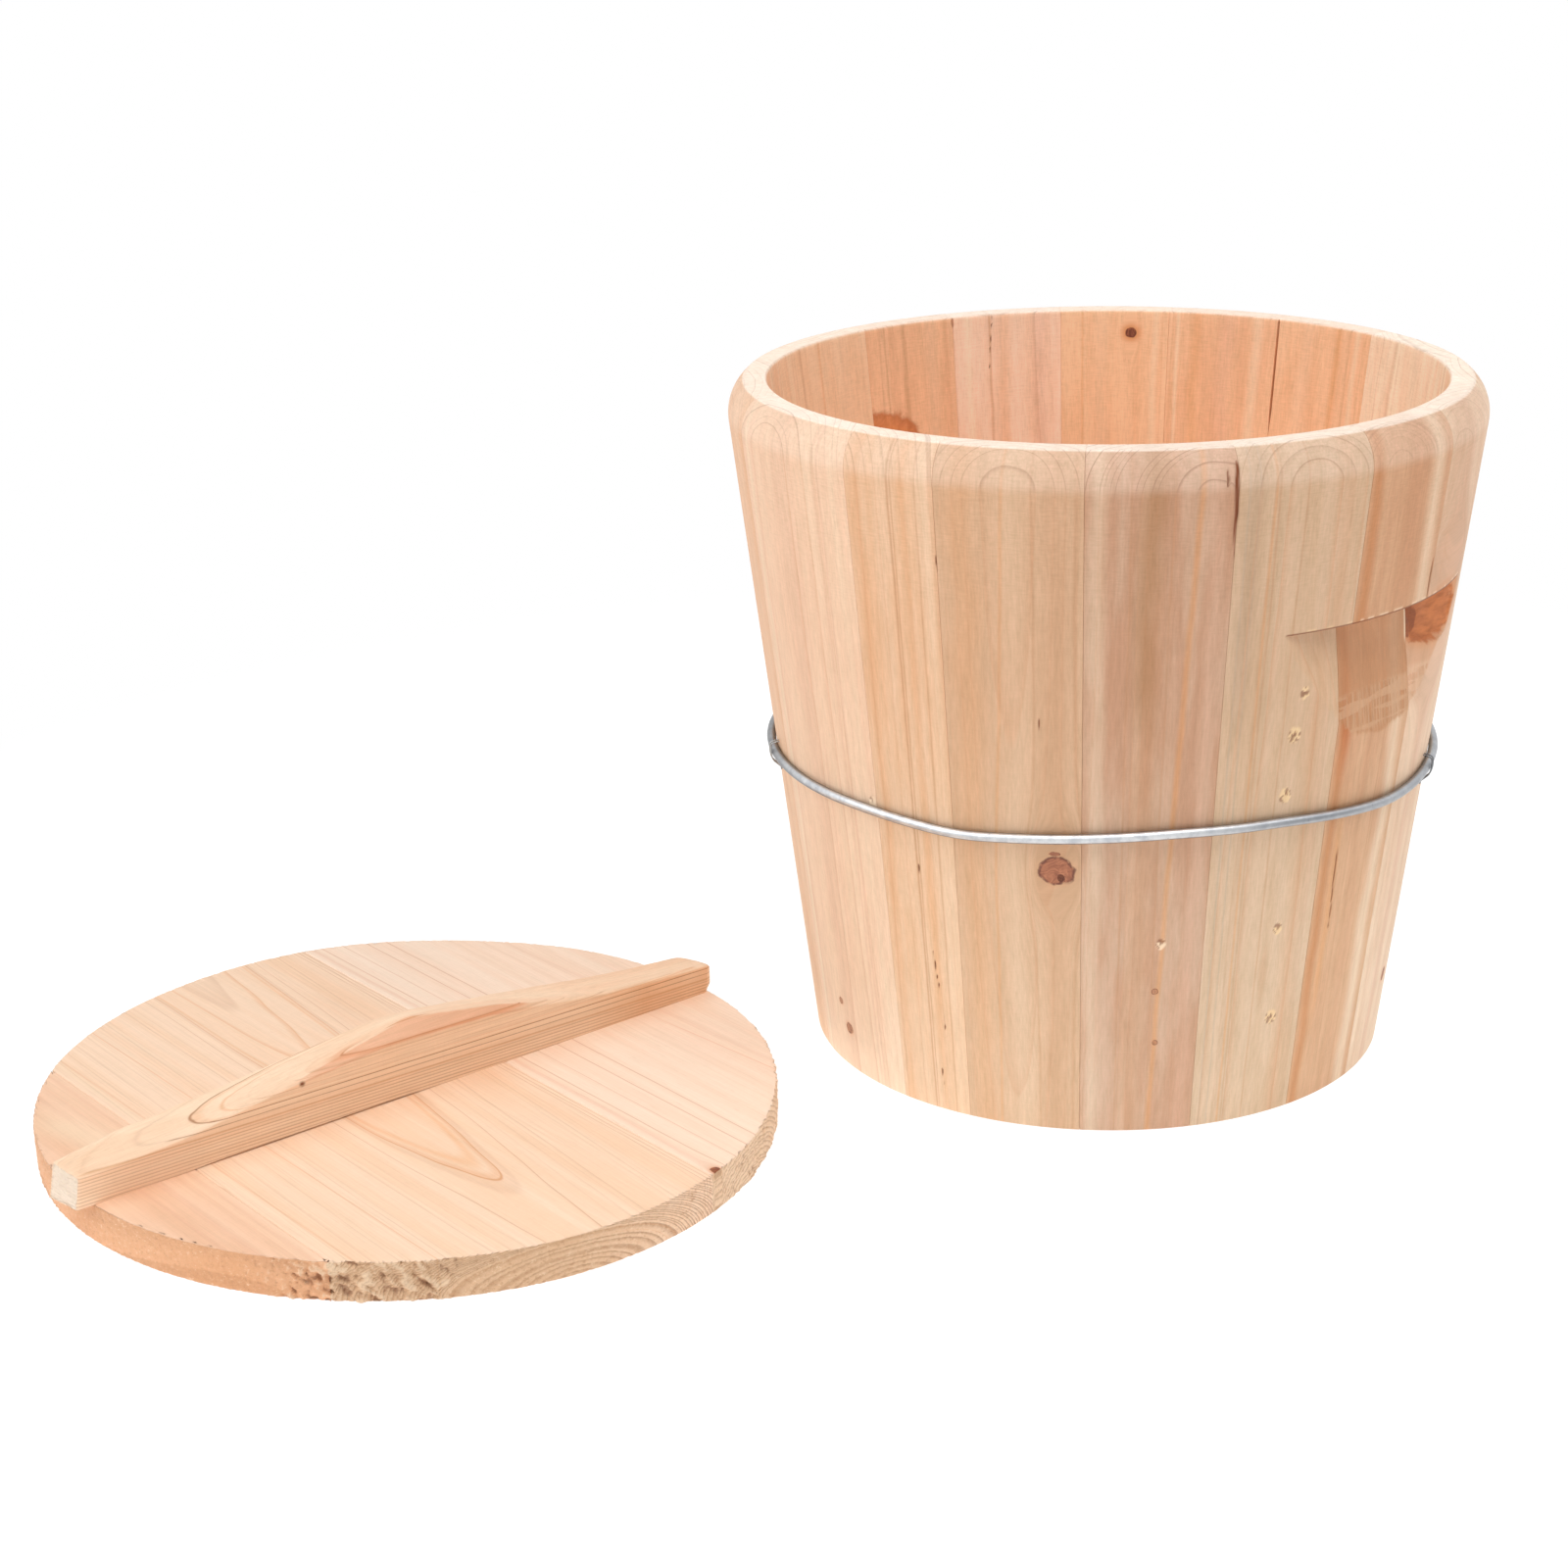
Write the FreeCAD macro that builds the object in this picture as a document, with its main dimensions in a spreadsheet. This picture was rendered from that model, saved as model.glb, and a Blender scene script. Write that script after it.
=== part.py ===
import FreeCAD, Part

import math
import os
import re

import Sketcher
from FreeCAD import Placement, Rotation, Vector

# A coopered wooden bucket with a wire hoop, and its board lid lying beside it on the floor.
# Millimetres and degrees. The origin is on the floor, on the bucket's axis. +Z is up and -Y is the front.
# Headings are turns about +Z, counted from +X.
# The fit of the joints: pins and nails fill their holes, and the bottom sits loose in its groove.

# ---------------------------------------------------------------- driving dimensions

STAVE_COUNT = 16
BOTTOM_BOARD_COUNT = 4
LID_BOARD_COUNT = 3

SIZES = {
    # the bucket's wall
    "bucket_height": 294.5,
    "foot_radius": 126,
    "rim_radius": 161.5,
    "wall": 18.4,
    "rim_flat": 9.5,
    "rim_round_height": 19,
    # the staves, as widths around the axis; the last one closes the circle
    "first_joint": -164.5,
    "stave_1_width": 29,
    "stave_2_width": 15.1,
    "stave_3_width": 21.4,
    "stave_4_width": 21,
    "stave_5_width": 21.5,
    "stave_6_width": 18.9,
    "stave_7_width": 20.6,
    "stave_8_width": 19.9,
    "stave_9_width": 24.9,
    "stave_10_width": 21.8,
    "stave_11_width": 21.7,
    "stave_12_width": 20.4,
    "stave_13_width": 21.4,
    "stave_14_width": 20,
    "stave_15_width": 31.5,
    # the pins between the staves
    "dowel_radius": 2,
    "stave_dowel_length": 24,
    "low_dowel_height": 62,
    "high_dowel_height": 246,
    # the finger grips, one on each side of the bucket
    "grip_heading": -47.5,
    "grip_ledge_height": 217.3,
    "grip_length": 55,
    "grip_depth": 13,
    # the bottom, let into a groove inside the staves
    "bottom_rise": 22,
    "bottom_thickness": 13,
    "groove_depth": 5,
    "groove_gap": 0.3,
    "bottom_heading": 24,
    "bottom_board_1_width": 52,
    "bottom_board_2_width": 61,
    "bottom_board_3_width": 66,
    "bottom_dowel_length": 26,
    "bottom_dowel_spread": 62,
    # the wire hoop and its keepers
    "hoop_height": 135.5,
    "hoop_wire_radius": 2,
    "hoop_gap": 0.05,
    "keeper_wire_radius": 0.45,
    "keeper_bend": 1.6,
    "keeper_rise": 5.5,
    "keeper_drop": 8,
    "keeper_leg": 9,
    "left_keeper_heading": -171,
    "right_keeper_heading": -23,
    # the lid, sawn a little out of round: longer along its boards than it is wide across them
    "lid_x": -300.7,
    "lid_y": -97.6,
    "lid_heading": 39.5,
    "lid_thickness": 16.8,
    "lid_half_width": 152,
    "lid_out_of_round": 7.8,
    "lid_board_1_width": 44,
    "lid_board_2_width": 149,
    "lid_dowel_length": 30,
    "lid_dowel_spread": 80,
    # the batten across the lid
    "batten_left": 157,
    "batten_right": 151,
    "batten_width": 18,
    "batten_shift": 3,
    "batten_end_height": 13.2,
    "batten_crest_height": 31.6,
    "batten_shoulder_height": 25.8,
    "batten_crest_left": 16,
    "batten_crest_right": 4,
    "batten_shoulder_left": 52,
    "batten_shoulder_right": 46,
    "batten_bevel": 3.6,
    # the nails, driven up through the lid
    "nail_radius": 1.3,
    "nail_length": 26,
    "nail_point": 3,
    "nail_head_radius": 2.8,
    "nail_head_height": 1,
    "nail_1_place": -130,
    "nail_2_place": -66,
    "nail_3_place": 6,
    "nail_4_place": 74,
    "nail_5_place": 132,
}
NAIL_COUNT = 5

doc = FreeCAD.newDocument("bucket")
sheet = doc.addObject("Spreadsheet::Sheet", "sizes")
sheet.Label = "driving dimensions"
for row, (name, number) in enumerate(SIZES.items(), start=1):
    sheet.set(f"A{row}", name)
    sheet.set(f"B{row}", str(number))
    sheet.setAlias(f"B{row}", name)
doc.recompute()


def tied(formula):
    """The formula with each driving dimension read from the sheet."""
    def read(word):
        return "sizes." + word.group() if word.group() in SIZES else word.group()
    return re.sub(r"[a-z]\w*", read, formula)


def value(formula):
    """The formula's number, from the sheet."""
    return float(sheet.evalExpression(tied(formula)))


def tie(thing, **properties):
    """Ties properties to formulas of the driving dimensions. A double underscore stands for a dot."""
    for key, formula in properties.items():
        thing.setExpression(key.replace("__", "."), tied(formula))
    return thing


def make(kind, name, **properties):
    """One object of the document, tied to its formulas."""
    return tie(doc.addObject(kind, name), **properties)


# ---------------------------------------------------------------- formulas that several pieces share

FLARE = "(rim_radius - foot_radius) / bucket_height"
GROOVE_RADIUS = f"(foot_radius - wall + bottom_rise * {FLARE} + groove_depth)"
GROOVE_TOP = "(bottom_rise + bottom_thickness + groove_gap)"
GRIP_RUN_OUT = "(grip_ledge_height - grip_length)"


def outside(height):
    """The wall's outer radius at a height."""
    return f"(foot_radius + ({height}) * {FLARE})"


def inside(height):
    """The wall's inner radius at a height."""
    return f"({outside(height)} - wall)"


def joint_heading(number):
    """The heading of the joint where a stave starts: joint 1 is the first."""
    widths = [f"stave_{before}_width" for before in range(1, number)]
    return " + ".join(["first_joint"] + widths)


# ---------------------------------------------------------------- sketches, pins and groups

def outline(sketch, corners, arcs=()):
    """A closed outline through corners, each a pair of formulas. A side named in arcs bends out of the
    side before it, with no kink."""
    points = [Vector(value(x), value(y), 0) for x, y in corners]
    count = len(points)
    for side in range(count):
        start = points[side]
        end = points[(side + 1) % count]
        if side in arcs:
            sketch.addGeometry(Part.Arc(start, on_tangent_arc(points[side - 1], start, end), end))
        else:
            sketch.addGeometry(Part.LineSegment(start, end))
    starts = [first_end(sketch, side, points[side]) for side in range(count)]
    for side in range(count):
        after = (side + 1) % count
        ends = (side, 3 - starts[side], after, starts[after])
        sketch.addConstraint(Sketcher.Constraint("Tangent" if after in arcs else "Coincident", *ends))
    for side, (x, y) in enumerate(corners):
        for direction, formula in (("DistanceX", x), ("DistanceY", y)):
            limit = Sketcher.Constraint(direction, -1, 1, side, starts[side], value(formula))
            index = sketch.addConstraint(limit)
            sketch.setExpression(f"Constraints[{index}]", tied(formula))
    return sketch


def on_tangent_arc(before, start, end):
    """A point half way along the arc from start to end that leaves start in line with the side before."""
    heading = (start - before).normalize()
    chord = end - start
    turn = heading.getAngle(chord)
    side = Vector(-chord.y, chord.x, 0).normalize()
    if side.dot(heading) < 0:
        side = side * -1
    return start + chord * 0.5 + side * (chord.Length / 2 * math.tan(turn / 2))


def first_end(sketch, side, point):
    """1 if the side's first end lies at the point, and 2 if its second does."""
    return 1 if sketch.getPoint(side, 1).distanceToPoint(point) < 0.001 else 2


UPRIGHT = Rotation(Vector(1, 0, 0), 90)   # a sketch's x and y become X and Z
ALONG_Y = Rotation(Vector(1, 0, 0), -90)
ALONG_X = Rotation(Vector(0, 1, 0), 90)


def upright_sketch(name, corners, arcs=()):
    sketch = doc.addObject("Sketcher::SketchObject", name)
    sketch.Placement = Placement(Vector(), UPRIGHT)
    return outline(sketch, corners, arcs)


def pin(name, length, turn, x="0", y="0", z="0"):
    """One wooden pin that starts at x, y, z."""
    cylinder = make("Part::Cylinder", name, Radius="dowel_radius", Height=length)
    cylinder.Placement = Placement(Vector(), turn)
    return tie(cylinder, Placement__Base__x=x, Placement__Base__y=y, Placement__Base__z=z)


def group(name, pieces, heading="0", x="0", y="0", z="0"):
    """Pieces that stay separate solids, turned about Z together and then moved."""
    compound = doc.addObject("Part::Compound", name)
    compound.Links = pieces
    compound.Placement = Placement(Vector(), Rotation(Vector(0, 0, 1), 1))
    tie(compound, Placement__Rotation__Angle=heading)
    return tie(compound, Placement__Base__x=x, Placement__Base__y=y, Placement__Base__z=z)


def cut(name, base, tool):
    result = doc.addObject("Part::Cut", name)
    result.Base = base
    result.Tool = tool
    return result


def common(name, base, tool):
    result = doc.addObject("Part::Common", name)
    result.Base = base
    result.Tool = tool
    return result


# ---------------------------------------------------------------- the staves

def stave_profile():
    """The wall cut through upright: its foot, its flared outside, its rounded rim and its groove."""
    shoulder = "(bucket_height - rim_round_height)"
    corners = [
        (inside("0"), "0"),
        (outside("0"), "0"),
        (outside(shoulder), shoulder),
        (f"({inside('bucket_height')} + rim_flat)", "bucket_height"),
        (inside("bucket_height"), "bucket_height"),
        (inside(GROOVE_TOP), GROOVE_TOP),
        (GROOVE_RADIUS, GROOVE_TOP),
        (GROOVE_RADIUS, "bottom_rise"),
        (inside("bottom_rise"), "bottom_rise"),
    ]
    return upright_sketch("stave_profile", corners, arcs=(2,))


def grip_wedge():
    """What a grip takes out: flat on top, and with a flat back that slopes out to the wall's surface."""
    beyond = "(rim_radius + wall)"
    corners = [
        (f"({outside('grip_ledge_height')} - grip_depth)", "grip_ledge_height"),
        (beyond, "grip_ledge_height"),
        (beyond, GRIP_RUN_OUT),
        (outside(GRIP_RUN_OUT), GRIP_RUN_OUT),
    ]
    wedge = make("Part::Extrusion", "grip_wedge", LengthFwd="2 * rim_radius")
    wedge.Base = upright_sketch("grip_profile", corners)
    wedge.DirMode = "Normal"
    wedge.Solid = True
    wedge.Symmetric = True
    return wedge


def stave_pins():
    """Two pins across each joint, half way through the wall."""
    pairs = []
    level = []
    for place in ("low", "high"):
        height = f"{place}_dowel_height"
        middle = f"{outside(height)} - wall / 2"
        level.append(pin(f"{place}_dowel", "stave_dowel_length", ALONG_Y, middle,
                         "-stave_dowel_length / 2", height))
    for number in range(1, STAVE_COUNT + 1):
        pairs.append(group(f"joint_{number}_dowels", level, heading=joint_heading(number)))
    return group("stave_dowels", pairs)


def staves(keepers):
    """The staves, with the finger grips cut in and the holes of the pins and the keepers' legs."""
    profile = stave_profile()
    wedge = grip_wedge()
    grips = [group("right_grip", [wedge], heading="grip_heading"),
             group("left_grip", [wedge], heading="grip_heading + 180")]
    dowels = stave_pins()
    tools = group("stave_cutters", grips + [dowels] + keepers)
    pieces = [dowels]
    for number in range(1, STAVE_COUNT + 1):
        blank = doc.addObject("Part::Revolution", f"stave_{number}_blank")
        blank.Source = profile
        blank.Axis = Vector(0, 0, 1)
        blank.Solid = True
        last = number == STAVE_COUNT
        rest = f"360 - ({joint_heading(number)} - first_joint)"
        blank.Placement = Placement(Vector(), Rotation(Vector(0, 0, 1), 1))
        tie(blank, Angle=rest if last else f"stave_{number}_width")
        tie(blank, Placement__Rotation__Angle=joint_heading(number))
        pieces.append(cut(f"stave_{number:02d}", blank, tools))
    return pieces


# ---------------------------------------------------------------- boards side by side

def boards(name, disc, count, reach, length, bottom, thickness, tools):
    """A disc cut into boards. Local x runs across them, from -reach, and the last one takes what is left."""
    pieces = []
    start = f"-({reach})"
    for number in range(1, count + 1):
        width = f"{name}_{number}_width" if number < count else f"({reach}) - ({start})"
        slab = make("Part::Box", f"{name}_{number}_slab", Length=width, Width=length, Height=thickness)
        tie(slab, Placement__Base__x=start, Placement__Base__y=f"-({length}) / 2",
            Placement__Base__z=bottom)
        blank = common(f"{name}_{number}_blank", disc, slab)
        pieces.append(cut(f"{name}_{number}_cut", blank, tools))
        start = f"{start} + {width}"
    return pieces


def board_pins(name, count, reach, middle, length, spread):
    """Two pins across each joint between boards."""
    pins = []
    start = f"-({reach})"
    for number in range(1, count):
        start = f"{start} + {name}_{number}_width"
        for side in ("-", ""):
            pins.append(pin(f"{name}_{number}_pin", length, ALONG_X, f"{start} - {length} / 2",
                            f"{side}{spread}", middle))
    return pins


def bottom():
    reach = f"({GROOVE_RADIUS} - groove_gap)"
    disc = make("Part::Cylinder", "bottom_disc", Radius=reach, Height="bottom_thickness",
                Placement__Base__z="bottom_rise")
    middle = "bottom_rise + bottom_thickness / 2"
    pins = board_pins("bottom_board", BOTTOM_BOARD_COUNT, reach, middle, "bottom_dowel_length",
                      "bottom_dowel_spread")
    pin_group = group("bottom_pins", pins)
    cut_boards = boards("bottom_board", disc, BOTTOM_BOARD_COUNT, reach, f"2 * {reach}", "bottom_rise",
                        "bottom_thickness", pin_group)
    pieces = [group("bottom_dowels", [pin_group], heading="bottom_heading")]
    for number, board in enumerate(cut_boards, start=1):
        pieces.append(group(f"bottom_board_{number}", [board], heading="bottom_heading"))
    return pieces


# ---------------------------------------------------------------- the hoop and its keepers

HOOP_STAND_OFF = f"(hoop_wire_radius + hoop_gap) * sqrt(1 + ({FLARE})^2)"


def hoop():
    return make("Part::Torus", "wire_hoop", Radius1=f"{outside('hoop_height')} + {HOOP_STAND_OFF}",
                Radius2="hoop_wire_radius", Placement__Base__z="hoop_height")


def keeper(name, heading):
    """A loop of thin wire over the hoop: its two legs go into the wall above the hoop, and its bend hangs
    below. The path is made at heading 0, where +X points away from the bucket."""
    bend = value("keeper_bend")
    top = value("hoop_height + keeper_rise")
    low = value("hoop_height - keeper_drop")
    wall_at_top = value(outside("hoop_height + keeper_rise"))
    out = value(f"{outside('hoop_height')} + {HOOP_STAND_OFF} + hoop_wire_radius + hoop_gap")
    out = out + value("keeper_wire_radius")
    inner_end = wall_at_top - value("keeper_leg")
    edges = []
    for side in (-bend, bend):
        corner = Vector(out, side, top)
        into = Vector(out - bend, side, top)
        down = Vector(out, side, top - bend)
        middle = corner + Vector(-bend, 0, -bend) + Vector(1, 0, 1).normalize() * bend
        leg = Part.LineSegment(Vector(inner_end, side, top), into).toShape()
        turn = Part.Arc(into, middle, down).toShape()
        fall = Part.LineSegment(down, Vector(out, side, low)).toShape()
        edges.append([leg, turn, fall])
    foot = Part.Arc(Vector(out, -bend, low), Vector(out, 0, low - bend), Vector(out, bend, low)).toShape()
    path = Part.Wire(edges[0] + [foot] + list(reversed(edges[1])))
    ring = Part.makeCircle(value("keeper_wire_radius"), Vector(inner_end, -bend, top), Vector(1, 0, 0))
    loop = doc.addObject("Part::Feature", name)
    loop.Shape = path.makePipeShell([Part.Wire(ring)], True, False)
    loop.Placement = Placement(Vector(), Rotation(Vector(0, 0, 1), 1))
    return tie(loop, Placement__Rotation__Angle=heading)


# ---------------------------------------------------------------- the lid

def on_the_floor(name, pieces):
    """Pieces of the lid, moved from its own frame to where it lies. There x runs along the batten."""
    return group(name, pieces, heading="lid_heading", x="lid_x", y="lid_y")


def nails():
    """Nails from under the lid, through the boards into the batten."""
    corners = [
        ("0", "0"),
        ("nail_head_radius", "0"),
        ("nail_head_radius", "nail_head_height"),
        ("nail_radius", "nail_head_height"),
        ("nail_radius", "nail_length - nail_point"),
        ("0", "nail_length"),
    ]
    nail = doc.addObject("Part::Revolution", "nail")
    nail.Source = upright_sketch("nail_profile", corners)
    nail.Axis = Vector(0, 0, 1)
    nail.Angle = 360
    nail.Solid = True
    placed = [group(f"nail_{number}", [nail], x=f"nail_{number}_place", y="-batten_shift")
              for number in range(1, NAIL_COUNT + 1)]
    return group("nails", placed)


def batten():
    """The handle: a strip with a long hump, sawn from the side and bevelled along its top edges."""
    body = doc.addObject("PartDesign::Body", "batten")
    plane = [axis for axis in body.Origin.OriginFeatures if axis.Role == "XZ_Plane"][0]
    side = body.newObject("Sketcher::SketchObject", "batten_side")
    side.AttachmentSupport = [(plane, "")]
    side.MapMode = "FlatFace"
    doc.recompute()
    outline(side, [
        ("-batten_left", "0"),
        ("batten_right", "0"),
        ("batten_right", "batten_end_height"),
        ("batten_shoulder_right", "batten_shoulder_height"),
        ("batten_crest_right", "batten_crest_height"),
        ("-batten_crest_left", "batten_crest_height"),
        ("-batten_shoulder_left", "batten_shoulder_height"),
        ("-batten_left", "batten_end_height"),
    ])
    strip = tie(body.newObject("PartDesign::Pad", "batten_strip"), Length="batten_width")
    strip.Profile = side
    strip.SideType = "Symmetric"
    doc.recompute()
    bevel = tie(body.newObject("PartDesign::Chamfer", "batten_bevels"), Size="batten_bevel")
    bevel.Base = (strip, top_edges(strip.Shape))
    body.Tip = bevel
    return tie(body, Placement__Base__y="-batten_shift", Placement__Base__z="lid_thickness")


def top_edges(shape):
    """The names of the long edges that lie higher than the strip's ends."""
    names = []
    for number, edge in enumerate(shape.Edges, start=1):
        middle = edge.CenterOfMass
        lengthwise = edge.BoundBox.XLength > edge.BoundBox.YLength
        if lengthwise and middle.z > value("batten_end_height"):
            names.append(f"Edge{number}")
    return names


def lid():
    half_length = "(lid_half_width + lid_out_of_round)"
    rim = make("Part::Ellipse", "lid_outline", MajorRadius=half_length, MinorRadius="lid_half_width")
    rim.Placement = Placement(Vector(), Rotation(Vector(0, 0, 1), 90))
    disc = make("Part::Extrusion", "lid_disc", LengthFwd="lid_thickness")
    disc.Base = rim
    disc.DirMode = "Normal"
    disc.Solid = True
    pins = board_pins("lid_board", LID_BOARD_COUNT, "lid_half_width", "lid_thickness / 2",
                      "lid_dowel_length", "lid_dowel_spread")
    pin_group = group("lid_pins", pins)
    nail_group = nails()
    tools = group("lid_cutters", [pin_group, nail_group])
    cut_boards = boards("lid_board", disc, LID_BOARD_COUNT, "lid_half_width", f"2 * {half_length}", "0",
                        "lid_thickness", tools)
    handle = cut("batten_with_holes", batten(), nail_group)
    pieces = [
        on_the_floor("lid_dowels", [pin_group]),
        on_the_floor("batten_nails", [nail_group]),
        on_the_floor("lid_batten", [handle]),
    ]
    for number, board in enumerate(cut_boards, start=1):
        pieces.append(on_the_floor(f"lid_board_{number}", [board]))
    return pieces


# ---------------------------------------------------------------- build, test and write

hoop_keepers = [
    keeper("hoop_keeper_left", "left_keeper_heading"),
    keeper("hoop_keeper_right", "right_keeper_heading"),
]
parts = staves(hoop_keepers) + bottom() + [hoop()] + hoop_keepers + lid()
doc.recompute()

for thing in doc.Objects:
    faults = [state for state in thing.State if state in ("Invalid", "Error")]
    if faults:
        raise RuntimeError(f"{thing.Label} is {faults}")

os.makedirs("parts", exist_ok=True)
for piece in parts:
    shape = piece.Shape
    if shape.isNull() or not shape.isValid() or not shape.Solids:
        raise RuntimeError(f"{piece.Label} has no valid solid")
    shape.exportStep(f"parts/{piece.Label}.step")
    print(f"{piece.Label:20s} {len(shape.Solids):3d} solids {shape.Volume / 1000:10.2f} cm3")
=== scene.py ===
import math

import bpy
import numpy as np
from bpy.props import FloatProperty, FloatVectorProperty, PointerProperty
from bpy.types import NodeSocket, Operator, Panel, PropertyGroup
from mathutils import Matrix, Vector


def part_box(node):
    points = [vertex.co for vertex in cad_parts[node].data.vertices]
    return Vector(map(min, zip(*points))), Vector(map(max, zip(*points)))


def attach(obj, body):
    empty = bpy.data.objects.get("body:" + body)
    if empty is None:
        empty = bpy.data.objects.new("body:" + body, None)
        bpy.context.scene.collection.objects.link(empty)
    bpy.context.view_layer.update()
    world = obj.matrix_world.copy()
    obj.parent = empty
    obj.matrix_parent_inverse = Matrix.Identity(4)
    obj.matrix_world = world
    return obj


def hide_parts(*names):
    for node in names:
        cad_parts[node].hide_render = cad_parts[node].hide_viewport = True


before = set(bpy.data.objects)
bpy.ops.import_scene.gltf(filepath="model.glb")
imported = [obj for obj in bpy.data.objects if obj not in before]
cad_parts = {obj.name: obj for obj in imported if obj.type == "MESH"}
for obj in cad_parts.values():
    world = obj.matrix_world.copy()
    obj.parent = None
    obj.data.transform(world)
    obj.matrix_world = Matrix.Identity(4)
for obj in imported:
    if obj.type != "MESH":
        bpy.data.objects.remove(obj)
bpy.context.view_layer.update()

bl_info = {
    "name": "Wooden firkin",
    "version": (1, 0, 0),
    "blender": (4, 5, 0),
    "location": "3D View > Sidebar > Firkin",
    "description": "Dresses the frame of a coopered firkin with wood, wire and a stage",
    "category": "Object",
}

# Lengths in this file are millimetres and headings are degrees about +Z, counted from +X, unless a name
# says otherwise. The front of the bucket is at -90 degrees.
MM = 0.001

# ---------------------------------------------------------------- measures taken from the frame


def node_points(node):
    """The node's points as an array, one row of x, y and z for each."""
    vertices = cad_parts[node].data.vertices
    flat = np.empty(len(vertices) * 3)
    vertices.foreach_get("co", flat)
    return flat.reshape(-1, 3) / MM


def node_radii(node):
    points = node_points(node)
    return np.hypot(points[:, 0], points[:, 1])


def node_headings(node):
    """The headings at which a stave starts and ends."""
    points = node_points(node)
    middle = math.degrees(math.atan2(points[:, 1].mean(), points[:, 0].mean()))
    turned = np.degrees(np.arctan2(points[:, 1], points[:, 0])) - middle
    turned = (turned + 180) % 360 - 180
    return middle + turned.min(), middle + turned.max()


STAVES = sorted(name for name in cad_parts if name.startswith(("stave_0", "stave_1")))
LID_BOARDS = sorted(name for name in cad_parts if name.startswith("lid_board"))
BOTTOM_BOARDS = sorted(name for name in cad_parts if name.startswith("bottom_board"))

# A stave that has no grip gives the wall's section. FLARE is how far the wall leans out for each millimetre
# up, SHOULDER where its rounding starts, and the band is the flat top of the rim.
plain_heights = node_points("stave_04")[:, 2]
plain_radii = node_radii("stave_04")
HEIGHT = plain_heights.max()
at_foot = plain_radii[plain_heights < 0.1]
at_band = plain_radii[plain_heights > HEIGHT - 0.1]
FOOT = at_foot.max()
WALL = FOOT - at_foot.min()
SHOULDER = plain_heights[plain_radii.argmax()]
FLARE = (plain_radii.max() - FOOT) / SHOULDER
BAND_OUTER = at_band.max()
BAND_INNER = at_band.min()
BOTTOM_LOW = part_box("bottom_board_1")[0].z / MM
BOTTOM_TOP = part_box("bottom_board_1")[1].z / MM
BOTTOM_REACH = max(node_radii(board).max() for board in BOTTOM_BOARDS)
LID_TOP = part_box("lid_board_2")[1].z / MM
LID_MIDDLE = np.array([-300.7, -97.6])
LID_HEADING = 39.5
WIRE_RADIUS = (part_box("wire_hoop")[1].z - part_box("wire_hoop")[0].z) / 2 / MM


def outside(height):
    """The wall's outer radius at a height."""
    return FOOT + FLARE * height


def inside(height):
    return outside(height) - WALL


# ---------------------------------------------------------------- settings


def length_setting(name, description, default, smallest=0.0):
    """A setting that is a length, with its numbers in millimetres."""
    return FloatProperty(name=name, description=description, default=default * MM, min=smallest * MM,
                         unit="LENGTH", precision=5)


def angle_setting(name, description, default):
    """A setting that is an angle, with its number in degrees."""
    return FloatProperty(name=name, description=description, default=math.radians(default), subtype="ANGLE")


def color_setting(name, description, default):
    return FloatVectorProperty(name=name, description=description, subtype="COLOR", size=3, min=0, max=1,
                               default=default)


class WallSettings(PropertyGroup):
    """What a user may change on the staves and the bottom."""

    joint_gap: length_setting("Joint gap", "Half of the gap between two staves", 0.03)
    joint_bevel: length_setting("Joint bevel", "How far the edges beside a joint are worn back", 0.14)
    plain_mesh: length_setting("Plain mesh", "Size of the mesh's faces on plain staves", 1.3, 0.5)
    marked_mesh: length_setting(
        "Marked mesh", "Size of the mesh's faces on staves with cracks or a grip", 0.55, 0.3)
    grip_heading: angle_setting("Grip heading", "Heading of the right grip's middle", -46)
    grip_depth: length_setting("Grip depth", "Depth of a grip under its ledge", 12)
    grip_ledge: length_setting("Ledge height", "Height of a grip's ledge", 217.3)
    grip_length: length_setting("Grip length", "Height from a grip's ledge down to where it runs out", 51.5)


class WireSettings(PropertyGroup):
    """What a user may change on the hoop and its keepers."""

    keeper_radius: length_setting("Keeper wire", "Radius of the keepers' wire", 0.3)
    zinc: color_setting("Zinc", "Colour of the hoop", (0.7, 0.71, 0.72))


class LidSettings(PropertyGroup):
    """What a user may change on the lid."""

    half_width: length_setting("Half width", "Half of the lid's width across its boards", 152)
    half_length: length_setting("Half length", "Half of the lid's length along its boards", 159.8)
    edge_tear: length_setting("Edge tear", "How deep the saw has torn the lid's edge", 1.1)


class StageSettings(PropertyGroup):
    """The camera, the floor and the sky."""

    camera_place: FloatVectorProperty(
        name="Camera place", description="Where the camera stands", subtype="XYZ", unit="LENGTH", size=3,
        default=(-0.13907, -1.19649, 0.53317))
    camera_pitch: angle_setting("Camera pitch", "How far the camera looks down", 19.431)
    camera_roll: angle_setting("Camera roll", "How far the camera leans to its right", 1.292)
    lens: FloatProperty(
        name="Lens", description="Focal length on a 36 mm wide sensor, in millimetres", default=65.54)
    floor_color: color_setting("Floor", "Colour of the floor", (0.9, 0.9, 0.9))
    sky: FloatProperty(
        name="Sky", description="Strength of the even light from all round", default=0.3)


class FirkinSettings(PropertyGroup):
    """All settings of the firkin."""

    wall: PointerProperty(type=WallSettings)
    wire: PointerProperty(type=WireSettings)
    lid: PointerProperty(type=LidSettings)
    stage: PointerProperty(type=StageSettings)


def settings():
    return bpy.context.scene.firkin


# ---------------------------------------------------------------- noise

TABLE_SIZE = 64
NOISE_TABLES = {}


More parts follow.
